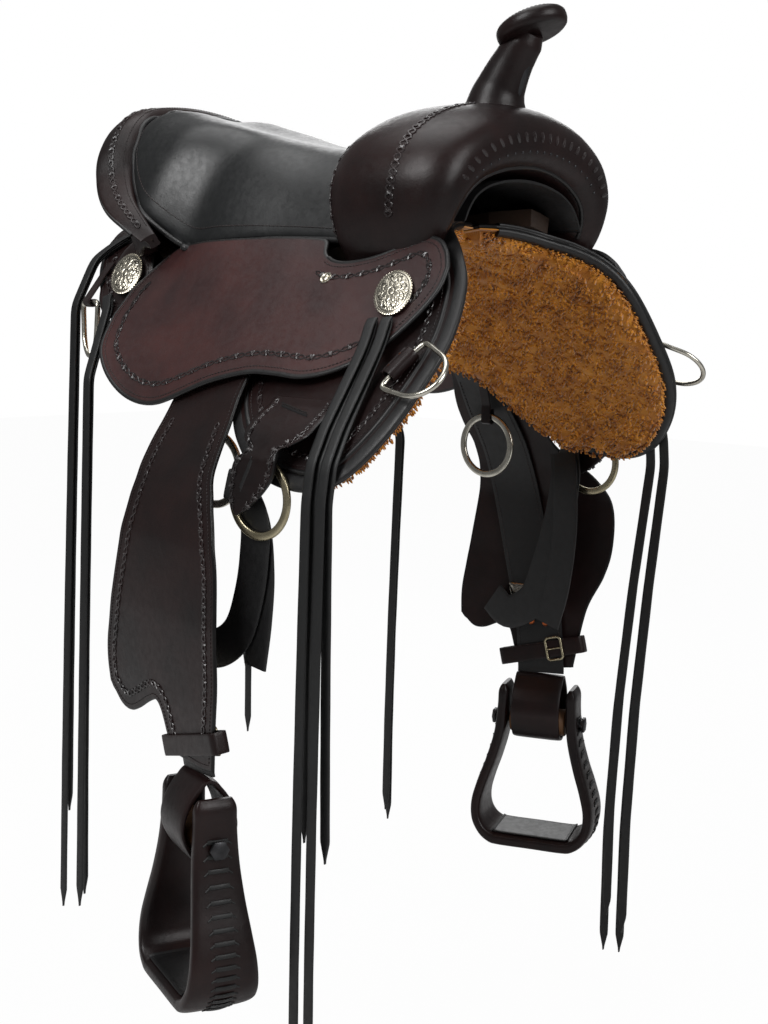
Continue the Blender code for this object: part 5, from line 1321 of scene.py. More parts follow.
@dataclass
class Skirts(SubAssembly):
    """Skirts with a rolled binding, tooled borders and the shearling under them."""

    binding: float = 0.0085
    tufts: int = 9000

    @property
    def roll(self) -> float:
        """Half the height of the binding's roll on the underside, where the right one is pressed flatter."""
        return 0.0052 if self.side is Side.LEFT else 0.0036

    def sheet(self) -> Sheet:
        """The skirt leather."""
        first, second = cut_grid(SKIRT_UPPER, SKIRT_LOWER, 120, 60)
        return Sheet(SKIRT.lifted, first, second, THICK.skirt / 2)

    def build(self) -> None:
        """Builds the leather, its trims and the shearling."""
        sheet = self.sheet()
        self.put(sheet.add_to(Shape()), "skirt_leather", self.finishes.dark, "dark_leather", "skirt")

        def below_ridge(y: Array, s: Array) -> Array:
            return s > 0.035

        trims = Shape()
        line = sheet.line(0.0065, below_ridge)
        line = line.again(0.004)
        # flush where the fender and the breast dee swing past, proud elsewhere
        y = line.path[:, 1]
        proud = 0.0022 * np.clip((-0.085 - y) / 0.02, 0, 1) * np.clip((y + 0.235) / 0.02, 0, 1)
        trims.tube(line.path + line.normals * (proud - 0.0024)[:, None], line.normals, self.binding, 0.0027,
            14, tag=9.0, power=2.6)
        # at the front the binding is rolled round to the underside
        rolled = y < -0.142
        under = line.path - line.normals * (THICK.skirt + THICK.gap + self.roll - 0.0037)
        trims.tube(under[rolled], line.normals[rolled], self.binding * 0.88, self.roll, 16, tag=9.0)
        second = sheet.line(0.0175, below_ridge).again(0.004)
        trims.tube(second.path, second.normals, 0.0026, 0.0018, 8, tag=9.0)
        self.put(trims, "skirt_binding", self.finishes.black, "black_leather")
        sewn, tooled = Shape(), Shape()
        sheet.line(0.0235, below_ridge).stitches(sewn)
        self.put(sewn, "skirt_stitches", self.finishes.thread, "dark_leather")
        for y_low, y_high in ((-0.40, -0.02), (0.17, 0.40)):
            sheet.line(0.034, lambda y, s, a=y_low, b=y_high: (s > 0.06) & (y > a) & (y < b)).wire(tooled,
                0.0024, 0.0010, 0.021)
        self.put(tooled, "skirt_tooling", self.finishes.tooled, "dark_leather")
        self.shearling(sheet)

    def shearling(self, sheet: Sheet) -> None:
        """Builds the fleece: a thick, lumpy backing with brushed locks of wool over it."""
        seed = np.random.default_rng(11)
        low = -THICK.skirt / 2 - THICK.gap
        first, second = cut_grid(SKIRT_UPPER, SKIRT_LOWER, 150, 80)
        flat = np.stack([first.ravel(), second.ravel()], 1)
        far = outline_distance(flat, sheet.outline).reshape(first.shape)
        deep = THICK.fleece - 0.004
        back = self.set_back(first)
        edge = np.sqrt(np.maximum(0.0, 1 - (1 - np.clip((far - back) / 0.014, 0, 1)) ** 2))
        rim = 0.35 - 0.27 * (far < back)
        lumps = sum(np.sin(first * f + p) * np.sin(second * g + q) for f, g, p,
            q in seed.uniform((90, 90, 0, 0), (260, 260, 6, 6), (7, 4))) / 7
        outer = SKIRT.lifted(first, second, np.full(first.shape, low))
        inner = SKIRT.lifted(first, second, low - deep * (rim + (1 - rim) * edge) + lumps * 0.004 * edge)
        # the tag 0.25 gives the backing the painted shade of the deep pile
        shape = Shape().plate(outer, inner, 0.25)
        self.put(shape, "shearling", self.finishes.fleece, "fleece", "fleece", creases=80)
        pick = seed.uniform((first.min(), 0.0), (first.max(), second.max()), (self.tufts * 3, 2))
        ring = sheet.outline
        inside = self.within(pick, ring)
        pick = pick[inside][:self.tufts]
        near = outline_distance(pick, ring) - self.set_back(pick[:, 0])
        pick, near = pick[near > 0], near[near > 0]
        rise = np.sqrt(np.maximum(0.0, 1 - (1 - np.clip(near / 0.014, 0, 1)) ** 2))
        lift = low - deep * (0.30 + 0.62 * rise)
        self.locks(pick, lift, -1.0, seed, "wool")
        count = int(running(ring)[-1] / 0.0011)
        rim = at_shares(np.vstack([ring, ring[:1]]), seed.uniform(0, 1, count))
        rim = rim[rim[:, 1] > 0.012]
        rim = rim - unit(rim - np.array([0.05, 0.19])) * self.set_back(rim[:, 0])[:, None]
        self.locks(rim, low - seed.uniform(0.1, 0.95, len(rim)) * deep, 0.0, seed, "fringe")

    def set_back(self, y: Array) -> Array:
        """How far the shearling keeps clear of the skirt's edge, for the rolled binding at the front."""
        return 0.010 * np.clip((-0.12 - y) / 0.02, 0, 1)

    def locks(self, pick: Array, lift: Array, out: float, seed: np.random.Generator, kind: str) -> None:
        """Adds curved locks of wool.

        Args:
            pick: their flat places.
            lift: their roots' lifts.
            out: -1 for locks that stand away from the leather, 0 for those that point past the edge.
            seed: the random numbers.
            kind: a word for the piece's name.
        """
        place = SKIRT.lifted(pick[:, 0], pick[:, 1], lift)
        normal = SKIRT.normal(pick[:, 0], pick[:, 1])
        down = unit(SKIRT.point(pick[:, 0], pick[:, 1] + 0.01) - SKIRT.point(pick[:, 0], pick[:, 1]))
        angle = seed.normal(0.0, 0.9, len(pick))[:, None]
        lay = down * np.cos(angle) + np.cross(normal, down) * np.sin(angle)
        if out == 0.0:
            middle = np.array([0.05, 0.19])
            away = pick - middle
            over = REARWARD * unit(away)[:, :1] + down * unit(away)[:, 1:]
            lay = unit(over + lay * 0.35)
        rows = [(x + r * 0.3 * math.cos(a), r * math.sin(a), z + r * math.cos(a)) for x, z,
            r in ((0.0, 0.0, 0.44), (0.22, 0.34, 0.42), (0.62, 0.46, 0.30),
            (1.0, 0.36, 0.06)) for a in (0.0, 2.0944, 4.1888)]
        sizes = seed.uniform(0.0042, 0.0072, len(pick)) * (0.62 if out == 0.0 else 1.0)
        shape = Shape().stamp(rows, ring_faces(4, 3), place, lay, -normal, sizes)
        # the height along each lock; its lower part takes the painted shade of the pile
        height = np.tile([0.35] * 3 + [0.6] * 3 + [0.9] * 3 + [1.0] * 3, len(pick))
        shape.tags = [height]
        self.put(shape, kind, self.finishes.fleece, "fleece", creases=180)

    def within(self, points: Array, ring: Array) -> Array:
        """Which flat points lie inside a closed outline."""
        x, y = points[:, 0, None], points[:, 1, None]
        a, b = ring, np.roll(ring, -1, axis=0)
        crosses = (a[:, 1] > y) != (b[:, 1] > y)
        at = a[:, 0] + (y - a[:, 1]) / np.where(b[:, 1] == a[:, 1], 1e-12,
            b[:, 1] - a[:, 1]) * (b[:, 0] - a[:, 0])
        return (crosses & (x < at)).sum(1) % 2 == 1


@dataclass
class Jockeys(SubAssembly):
    """Seat jockeys and rear housings: smooth leathers with blacked edges, stitched and tooled."""

    def build(self) -> None:
        """Builds both leathers with their trims."""
        first, second = cut_grid(JOCKEY_UPPER, JOCKEY_LOWER, 130, 56)
        sheet = Sheet(JOCKEY.lifted, first, second, THICK.jockey / 2)
        self.put(sheet.add_to(Shape()), "jockey_leather", self.finishes.jockey, "jockey_leather",
            "seat_jockey")

        def off_seat(y: Array, s: Array) -> Array:
            return (s > 0.014) & ~((y > -0.09) & (s < 0.05) & (y < 0.17))

        sewn, tooled, edge = Shape(), Shape(), Shape()
        sheet.line(0.0078, off_seat).stitches(sewn, 0.0044, 0.0031)

        def low_edge(y: Array, s: Array) -> Array:
            return (s > 0.10) | (y > 0.18)

        sheet.line(0.024, lambda y, s: low_edge(y, s) & (y > -0.19)).wire(tooled, 0.0023, 0.0010, 0.021)
        sheet.line(0.021, lambda y, s: (s < 0.10) & (y < -0.085)).wire(tooled, 0.0021, 0.0009, 0.019)
        rim = sheet.line(0.0016, off_seat).again(0.004)
        edge.tube(rim.path - rim.normals * 0.0016, rim.normals, 0.0026, 0.0022, 10, tag=9.0)
        self.put(sewn, "jockey_stitches", self.finishes.thread, "jockey_leather")
        self.put(tooled, "jockey_tooling", self.finishes.tooled, "jockey_leather")
        self.put(edge, "jockey_edge", self.finishes.black, "black_leather")
        self.screw()
        self.housing()

    def screw(self) -> None:
        """Sets the screw with its dished washer behind the fork's foot."""
        place = JOCKEY.lifted(np.array([-0.104]), np.array([0.0585]), np.array([THICK.jockey / 2]))
        out = JOCKEY.normal(np.array([-0.104]), np.array([0.0585]))
        shape = Shape()
        dish = turned_points(((0.0068, -0.0005), (0.0070, 0.0008), (0.0060, 0.0016), (0.0045, 0.0006),
            (0.0040, 0.0005), (0.0038, 0.0016), (0.0026, 0.0022), (0.0008, 0.0023)), 24)
        shape.stamp(dish, ring_faces(8, 24), place, np.array([[0.0, 1.0, 0.0]]), out)
        self.put(shape, "rosette_screw", self.finishes.silver, "nickel")

    def housing(self) -> None:
        """Builds the rear housing."""
        first, second = cut_grid(HOUSING_UPPER, HOUSING_LOWER, 70, 40)
        start = THICK.skirt / 2 + THICK.gap + THICK.housing / 2

        def surface(y: Array, s: Array, lift: Array) -> Array:
            return SKIRT.lifted(y, s, lift + housing_rise(y, s))

        sheet = Sheet(surface, first, second, THICK.housing / 2, start)
        self.put(sheet.add_to(Shape()), "housing_leather", self.finishes.dark, "dark_leather",
            "rear_housing")
        sewn, tooled = Shape(), Shape()
        sheet.line(0.007).stitches(sewn)
        sheet.line(0.018).wire(tooled, 0.0022, 0.0010, 0.021)
        self.put(sewn, "housing_stitches", self.finishes.thread, "dark_leather")
        self.put(tooled, "housing_tooling", self.finishes.tooled, "dark_leather")


def housing_face(y: float, s: float) -> Array:
    """The rear housing's outer face."""
    lift = THICK.skirt / 2 + THICK.gap + housing_rise(y, s) + THICK.housing
    return SKIRT.lifted(y, s, lift)


def jockey_face(y: float, s: float) -> Array:
    """The seat jockey's outer face."""
    return JOCKEY.lifted(y, s, THICK.jockey / 2)


@dataclass
class Concho:
    """An oval engraved disc with a roped rim and a petalled centre."""

    name: str
    surface: Callable[[float, float], Array]
    y: float
    s: float
    stand: float
    length: float = 0.056
    width: float = 0.044
    turn: float = math.radians(65)

    def build(self, finishes: Finishes, side: Side) -> None:
        """Builds the disc with its engraving and its rim."""
        place = self.surface(self.y, self.s)
        forward = unit(self.surface(self.y - 0.02, self.s) - self.surface(self.y + 0.02, self.s))
        down = self.surface(self.y, self.s + 0.018) - self.surface(self.y, self.s - 0.018)
        down = unit(down - forward * (down @ forward))
        out = np.cross(forward, down)
        out = out * (1 if out[0] > 0 else -1)
        a = forward * math.cos(self.turn) + down * math.sin(self.turn)
        b = down * math.cos(self.turn) - forward * math.sin(self.turn)
        angle = around(144)
        rings, tags = [], []
        shares = np.r_[0.12, 0.12, 0.965, np.linspace(1.0, 0.02, 44)]
        rises = np.r_[0.0005, self.stand, self.stand, self.stand + 0.0022 + 0.0040 * np.sqrt(1
            - np.linspace(1.0, 0.02, 44) ** 2)]
        for k, (share, rise) in enumerate(zip(shares, rises)):
            cut = self.engraving(share, angle) if k > 3 else np.zeros(len(angle))
            ring = (place + out * (rise - 0.00055 * cut)[:, None] + a * (self.length / 2 * share
                * np.cos(angle))[:, None] + b * (self.width / 2 * share * np.sin(angle))[:, None])
            rings.append(ring)
            tags.append(-cut)
        shape = Shape().loft(np.array(rings), tag=np.array(tags))
        made = shape.make(f"{self.name}_disc_{side.word}", finishes.silver, side, 70)
        settle(made, "saddle", "nickel", f"{self.name}_{side.word}")
        rope = Shape()
        count = 46
        at = around(count)
        ring = (place + out * (self.stand + 0.0026)
            + a * (self.length / 2 * 0.955 * np.cos(at))[:, None]
            + b * (self.width / 2 * 0.955 * np.sin(at))[:, None])
        along = beside(ring)
        lean = unit(along) + unit(ring - place) * 0.7
        rope.stamp(STITCH_POINTS, STITCH_FACES, ring, lean, np.tile(out, (count, 1)), 0.0046, 0.0)
        settle(rope.make(f"{self.name}_rope_{side.word}", finishes.silver, side), "saddle", "nickel")

    def engraving(self, share: float, angle: Array) -> Array:
        """How deep the engraving is cut at a share of the radius, from 0 to 1."""
        petals = abs(np.cos(angle * 4)) ** 0.5
        line = np.exp(-((share - 0.30 - 0.42 * petals) / 0.035) ** 2)
        inner = np.exp(-((share - 0.16 - 0.34 * petals) / 0.028) ** 2)
        ring = np.exp(-((share - 0.86) / 0.02) ** 2) + np.exp(-((share - 0.16) / 0.03) ** 2)
        scroll = np.exp(-((share - 0.66 - 0.10 * np.sin(angle * 16)) / 0.03) ** 2) * 0.8
        hatch = (np.sin(angle * 48) > 0.2) * (share > 0.74) * (share < 0.84) * 0.6
        return np.clip(line + inner + ring + scroll + hatch, 0, 1)


def skirt_x(y: float, z: float, lift: float) -> float:
    """How far out a leather of this lift on the skirt stands at y and height z."""
    s = SKIRT.down_to(y, z)
    return float(SKIRT.point(y, s)[0] + lift / SKIRT.normal(y, s)[0])


def keeper_x(y: float, z: float) -> float:
    """How far out the latigo keeper's inner face stands at y and height z."""
    skirt = skirt_x(y, z, THICK.skirt / 2 + THICK.gap + 0.0004)
    free = FRONT_RING[0] + RING_THICK / 2 + THICK.billet + 0.0015
    share = float(np.clip((-0.138 - z) / 0.050, 0, 1))
    return max(skirt, skirt * (1 - share) + free * share)


def belt(shape: Shape, path: Array, across: Points, width: float, thick: float, closed: bool = False,
    tag: float = 9.0) -> Shape:
    """Adds a flat strap with eased edges; across gives its width direction."""
    path = np.asarray(path, float)
    step = beside(path) if closed else np.gradient(path, axis=0)
    normals = np.cross(unit(step), np.broadcast_to(np.asarray(across, float), path.shape))
    return shape.tube(path, unit(normals), width / 2, thick / 2, 20, closed, tag, power=5.0)


def bend(line: Points, origin: Array, u: Points, v: Points, count: int = 60) -> Array:
    """A smooth line drawn in a plane, as points in space."""
    flat = smooth(line, count)
    return np.asarray(origin) + flat[:, :1] * np.asarray(u, float) + flat[:, 1:] * np.asarray(v, float)


@dataclass
class Rigging(SubAssembly):
    """The rings, dees and the leathers that hold them, and the strap on the front ring."""

    wire: float = 0.0032

    def build(self) -> None:
        """Builds all of it."""
        self.keeper()
        self.rings()
        self.rear_strap()
        self.breast()
        self.rear_dee()
        self.strap()

    def keeper(self) -> None:
        """Builds the leaf of rigging leather with its two slots and tooled borders."""
        edge = spread(np.array(KEEPER_ROWS), np.linspace(0, len(KEEPER_ROWS) - 1, 60))
        edge[:, 0] = np.clip(edge[:, 0], -0.245, -0.130)
        outer, inner = [], []
        shares = np.r_[0, 0.02, 0.06, np.linspace(0.12, 0.88, 16), 0.94, 0.98, 1]
        for z, front, rear in edge:
            ys = front + (rear - front) * shares
            base = np.array([keeper_x(y, z) for y in ys])
            round_off = 0.0011 * np.clip(1 - np.minimum(ys - front, rear - ys) / 0.0018, 0, 1) ** 2
            inner.append(np.stack([base + round_off, ys, np.full(len(ys), z)], 1))
            outer.append(np.stack([base + THICK.keeper * 1.15 - round_off, ys, np.full(len(ys), z)], 1))
        outer, inner = np.array(outer), np.array(inner)
        rim = np.minimum(outer[..., 1] - outer[:, :1, 1], outer[:, -1:, 1] - outer[..., 1])
        shape = Shape().plate(outer, inner, np.clip(rim, 0, 1) * 1000 + 1.2)
        x, y, z = FRONT_RING
        near, far = x - RING_THICK / 2 - 0.0008, x + RING_THICK / 2 + 0.0008
        top, low, wall = z + RING_RADIUS + 0.0080, z + RING_RADIUS - 0.0090, 0.003
        middle = wall / 2
        face = keeper_x(y, top + wall) + THICK.keeper / 2
        path = [(face, top + middle), (near, top + middle), (near - middle, top),
            (near - middle, z + RING_RADIUS), (near - middle, low), (near, low - middle),
            (far, low - middle), (far + middle, low), (far + middle, top - 0.006),
            (far + middle, top - 0.0035)]
        fold = np.array([(a, y, b) for a, b in path])
        belt(shape, at_shares(fold, np.linspace(0, 1, 50)), REARWARD, 0.020, wall)
        self.put(shape, "keeper_leather", self.finishes.dark, "dark_leather", "latigo_keeper", creases=40)
        slots, seams = Shape(), Shape()
        for a, b in (((-0.125, -0.139), (-0.172, -0.146)), ((-0.135, -0.189), (-0.120, -0.218))):
            ys, zs = np.linspace(a[0], b[0], 14), np.linspace(a[1], b[1], 14)
            line = np.array([(keeper_x(p, q) + THICK.keeper * 1.15 - 0.0002, p, q) for p, q in zip(ys, zs)])
            slots.tube(line, AWAY, 0.0021, 0.0006, 8, tag=9.0)
            for sign in (-1, 1):
                rim_line = line + UP * sign * 0.0036
                seams.tube(rim_line, AWAY, 0.0007, 0.0005, 6)
        self.put(slots, "keeper_slots", self.finishes.black, "black_leather")
        for share in (0.10, 0.90):
            ys = edge[3:-3, 1] + (edge[3:-3, 2] - edge[3:-3, 1]) * share
            line = np.array([(keeper_x(p, q) + THICK.keeper * 1.15, p, q) for p,
                q in zip(ys, edge[3:-3, 0])])
            Trim(line, np.tile([1.0, 0.0, 0.0], (len(line), 1))).wire(seams, 0.0016, 0.0007, 0.014)
        self.put(seams, "keeper_tooling", self.finishes.tooled, "dark_leather")

    def rings(self) -> None:
        """Builds the two flat-banded rings."""
        word = self.side.word
        for name, centre, finish in (("front", FRONT_RING, self.finishes.brass),
            ("rear", REAR_RING, self.finishes.nickel)):
            a = around(96)[:, None]
            path = centre + RING_RADIUS * (REARWARD * np.cos(a) + UP * np.sin(a))
            ring = Shape().tube(path, AWAY, RING_BAND / 2, RING_THICK / 2, 20, closed=True, power=3.4)
            self.put(ring, f"{name}_ring", finish, "nickel", f"{name}_rig_ring",
                body=f"{name}_ring_{word}_hung")

    def rear_strap(self) -> None:
        """Builds the thin strap that holds the rear ring."""
        x, y, z = REAR_RING
        wall = 0.0018
        clear = RING_THICK / 2 + 0.0008 + wall / 2
        low = z + RING_RADIUS - 0.0095
        start = [SKIRT.lifted(y, s, THICK.skirt / 2 + 0.0015 + wall / 2) for s in (0.256, 0.268, 0.279)]
        line = [(p[0], p[2]) for p in start]
        line += [(x - clear, z + 0.052), (x - clear, z + 0.040), (x - clear, low + 0.0015),
            (x, low - 0.0005), (x + clear, low + 0.0015), (x + clear, z + 0.040),
            (x + clear - 0.001, z + 0.047)]
        path = at_shares(np.array([(a, y, b) for a, b in line]), np.linspace(0, 1, 70))
        made = belt(Shape(), path, REARWARD, 0.014, wall)
        self.put(made, "rear_rig_leather", self.finishes.dark, "dark_leather", "rear_rig_strap")

    def bow(self, middle: Array, bar: Array, reach: Array, width: float, length: float) -> Array:
        """The closed middle line of a dee."""
        corner = 0.008
        line = [(-width / 2, 0.0), (-width / 6, 0.0), (width / 6, 0.0), (width / 2, 0.0),
            (width / 2 + corner, 0.25 * corner), (width / 2 + 1.3 * corner, corner),
            (width / 2 + 1.1 * corner, 0.35 * length)]
        for k in range(1, 8):
            a = math.pi * k / 8
            line.append((math.cos(a) * (width / 2 + corner), 0.42 * length + 0.58 * length * math.sin(a)))
        line += [(-u, v) for u, v in line[6:3:-1]]
        wrapped = np.array(line[-2:] + line + line[:3], float)
        flat = spread(wrapped, 2 + np.linspace(0, len(line), 110, endpoint=False))
        return middle + flat[:, :1] * bar + flat[:, 1:] * reach

    def breast(self) -> None:
        """Builds the breast-collar dee and its folded strap."""
        word = self.side.word
        y, s = -0.252, SKIRT.down_to(-0.252, -0.098)
        place, out = SKIRT.point(y, s), SKIRT.normal(y, s)
        forward = unit(np.array([0.0, -1.0, 0.0]) + out * out[1])
        down = np.cross(out, forward)
        down = down * (-1 if down[2] > 0 else 1)
        wall, gap = 0.003, self.wire + 0.0007
        reach, bar = forward * 0.93 + down * 0.37, down * 0.93 - forward * 0.37
        middle = place + out * (THICK.skirt / 2 + 0.0019 + wall + gap) + reach * 0.006
        curve = self.bow(middle, bar, reach, 0.040, 0.062)
        # the free end leans out, which leaves room for the fold towards the skirt
        curve = curve + out * 0.0026 * np.clip((curve - middle) @ reach / 0.062, 0, 1)[:, None]
        ring = Shape().tube(curve, out, self.wire * 0.9, self.wire * 0.86, 14, closed=True)
        self.put(ring, "breast_ring", self.finishes.nickel, "nickel", "breast_dee",
            body=f"breast_dee_{word}_held")
        line = [(-0.018, 0.0), (-0.010, 0.0)]
        line += [(math.sin(math.pi * k / 6) * (gap + wall / 2), (1 - math.cos(math.pi * k / 6)) * (gap
            + wall / 2)) for k in range(0, 7)]
        line += [(-0.006, 2 * gap + wall - 0.0006), (-0.013, wall + 0.0008), (-0.018, wall + 0.0004)]
        path = bend(line, middle - out * (gap + wall / 2), reach, out, 50)
        made = belt(Shape(), path, bar, 0.034, wall * 0.94)
        self.put(made, "breast_leather", self.finishes.dark, "dark_leather", "breast_strap")
        rivet = Shape()
        spots = [middle - reach * 0.0125 + bar * k + out * -0.0004 for k in (-0.008, 0.008)]
        rivet.stamp(DOME_POINTS, DOME_FACES, np.array(spots), np.tile(reach, (2, 1)), np.tile(out, (2, 1)),
            0.0032, 0.0)
        self.put(rivet, "breast_rivets", self.finishes.copper, "nickel")

    def rear_dee(self) -> None:
        """Builds the dee behind the rear housing and its keeper."""
        word = self.side.word
        y, s = 0.286, 0.170
        way, out, drop = np.array([[-0.36, 0.93, 0.0], [0.93, 0.36, 0.0], [0.0, 0.0, -1.0]])
        middle = SKIRT.point(y, s) + out * 0.0200 + drop * 0.012
        ring = Shape().tube(self.bow(middle, way, drop, 0.036, 0.066), out, self.wire, self.wire, 14,
            closed=True)
        self.put(ring, "rear_dee_ring", self.finishes.nickel, "nickel", "rear_dee",
            body=f"rear_dee_{word}_held")
        wall, r = 0.003, self.wire + 0.0007 + 0.0015
        line = []
        for t in (0.030, 0.018, 0.008):
            high = housing_lift(y, s - t) - THICK.lace / 2 + 0.0031 + wall / 2
            p = SKIRT.lifted(y, s - t, high) - middle
            line.append((p @ out, p[2]))
        line += [(r * math.cos(a), r * math.sin(a)) for a in np.radians((55, 15, -30, -75, -120, -165,
            -200))]
        made = belt(Shape(), bend(line, middle, out, -drop, 60), way, 0.024, wall * 0.94)
        self.put(made, "rear_keeper_leather", self.finishes.dark, "dark_leather", "rear_keeper")

    def strap(self) -> None:
        """Builds the latigo or the off billet: a loop round the ring and two falls."""
        word = self.side.word
        name = "off_billet_right" if self.side is Side.RIGHT else "latigo_left"
        a = math.radians(15)
        x, y, z = FRONT_RING
        radial, along = np.array([0.0, math.cos(a), math.sin(a)]), np.array([0.0, -math.sin(a),
            math.cos(a)])
        t = THICK.billet
        near, far = x - RING_THICK / 2 - 0.0006 - t / 2, x + RING_THICK / 2 + 0.0006 + t / 2
        low, top = 0.0288 - t / 2, RING_RADIUS + RING_BAND / 2 + 0.0006 + t / 2
        c = 0.0020
        corners = [(near, low + c), (near, top - c), (near + c, top), (far - c, top), (far, top - c),
            (far, low + c), (far - c, low), (near + c, low)]
        loop = np.array([np.array([p, y, z]) + radial * q for p, q in corners])
        loop = evened(loop, 60)
        shape = belt(Shape(), loop, along, 0.030, t * 0.96, closed=True)
        start = np.array([near, y, z]) + radial * (0.0288 - t + 0.012)
        for shift, width, falls in STRAP_FALLS[self.side]:
            path = smooth([start] + [(near + shift, py, pz) for py, pz in falls], 70)
            tangent = np.gradient(path, axis=0)
            across = np.stack([np.zeros(len(path)), -tangent[:, 2], tangent[:, 1]], 1)
            belt(shape, path, unit(across), width, t * 0.96)
        settle(shape.make(f"{name}_leather", self.finishes.black, self.side, 40), f"ring_strap_{word}_hung",
            "black_leather", name)


DROP_AT = np.arange(0.100, 0.520, 0.001)
DROP = np.convolve(np.pad(np.interp(DROP_AT, *FENDER_DROP), 6, mode="edge"), np.ones(13) / 13, "valid")


def fender_yaw(side: Side, z: Array) -> Array:
    """How far the fender is turned about the vertical at a height."""
    return np.radians(np.interp(-np.asarray(z, float), *FENDER_TURN[side]))


def fender_point(side: Side, z: Array, y: Array, lift: Array = 0.0) -> Array:
    """Points of the fender's middle surface at a height and a place along it, lifted outwards."""
    z, y, lift = np.broadcast_arrays(np.asarray(z, float), np.asarray(y, float), np.asarray(lift, float))
    yaw = fender_yaw(side, z)
    u = y / np.cos(yaw)
    slope = (np.interp(-z + 0.004, DROP_AT, DROP) - np.interp(-z - 0.004, DROP_AT, DROP)) / 0.008
    normal = unit(np.stack([np.cos(yaw), np.sin(yaw), slope], -1))
    place = np.stack([np.interp(-z, DROP_AT, DROP) - u * np.sin(yaw), u * np.cos(yaw), z], -1)
    return place + normal * lift[..., None]


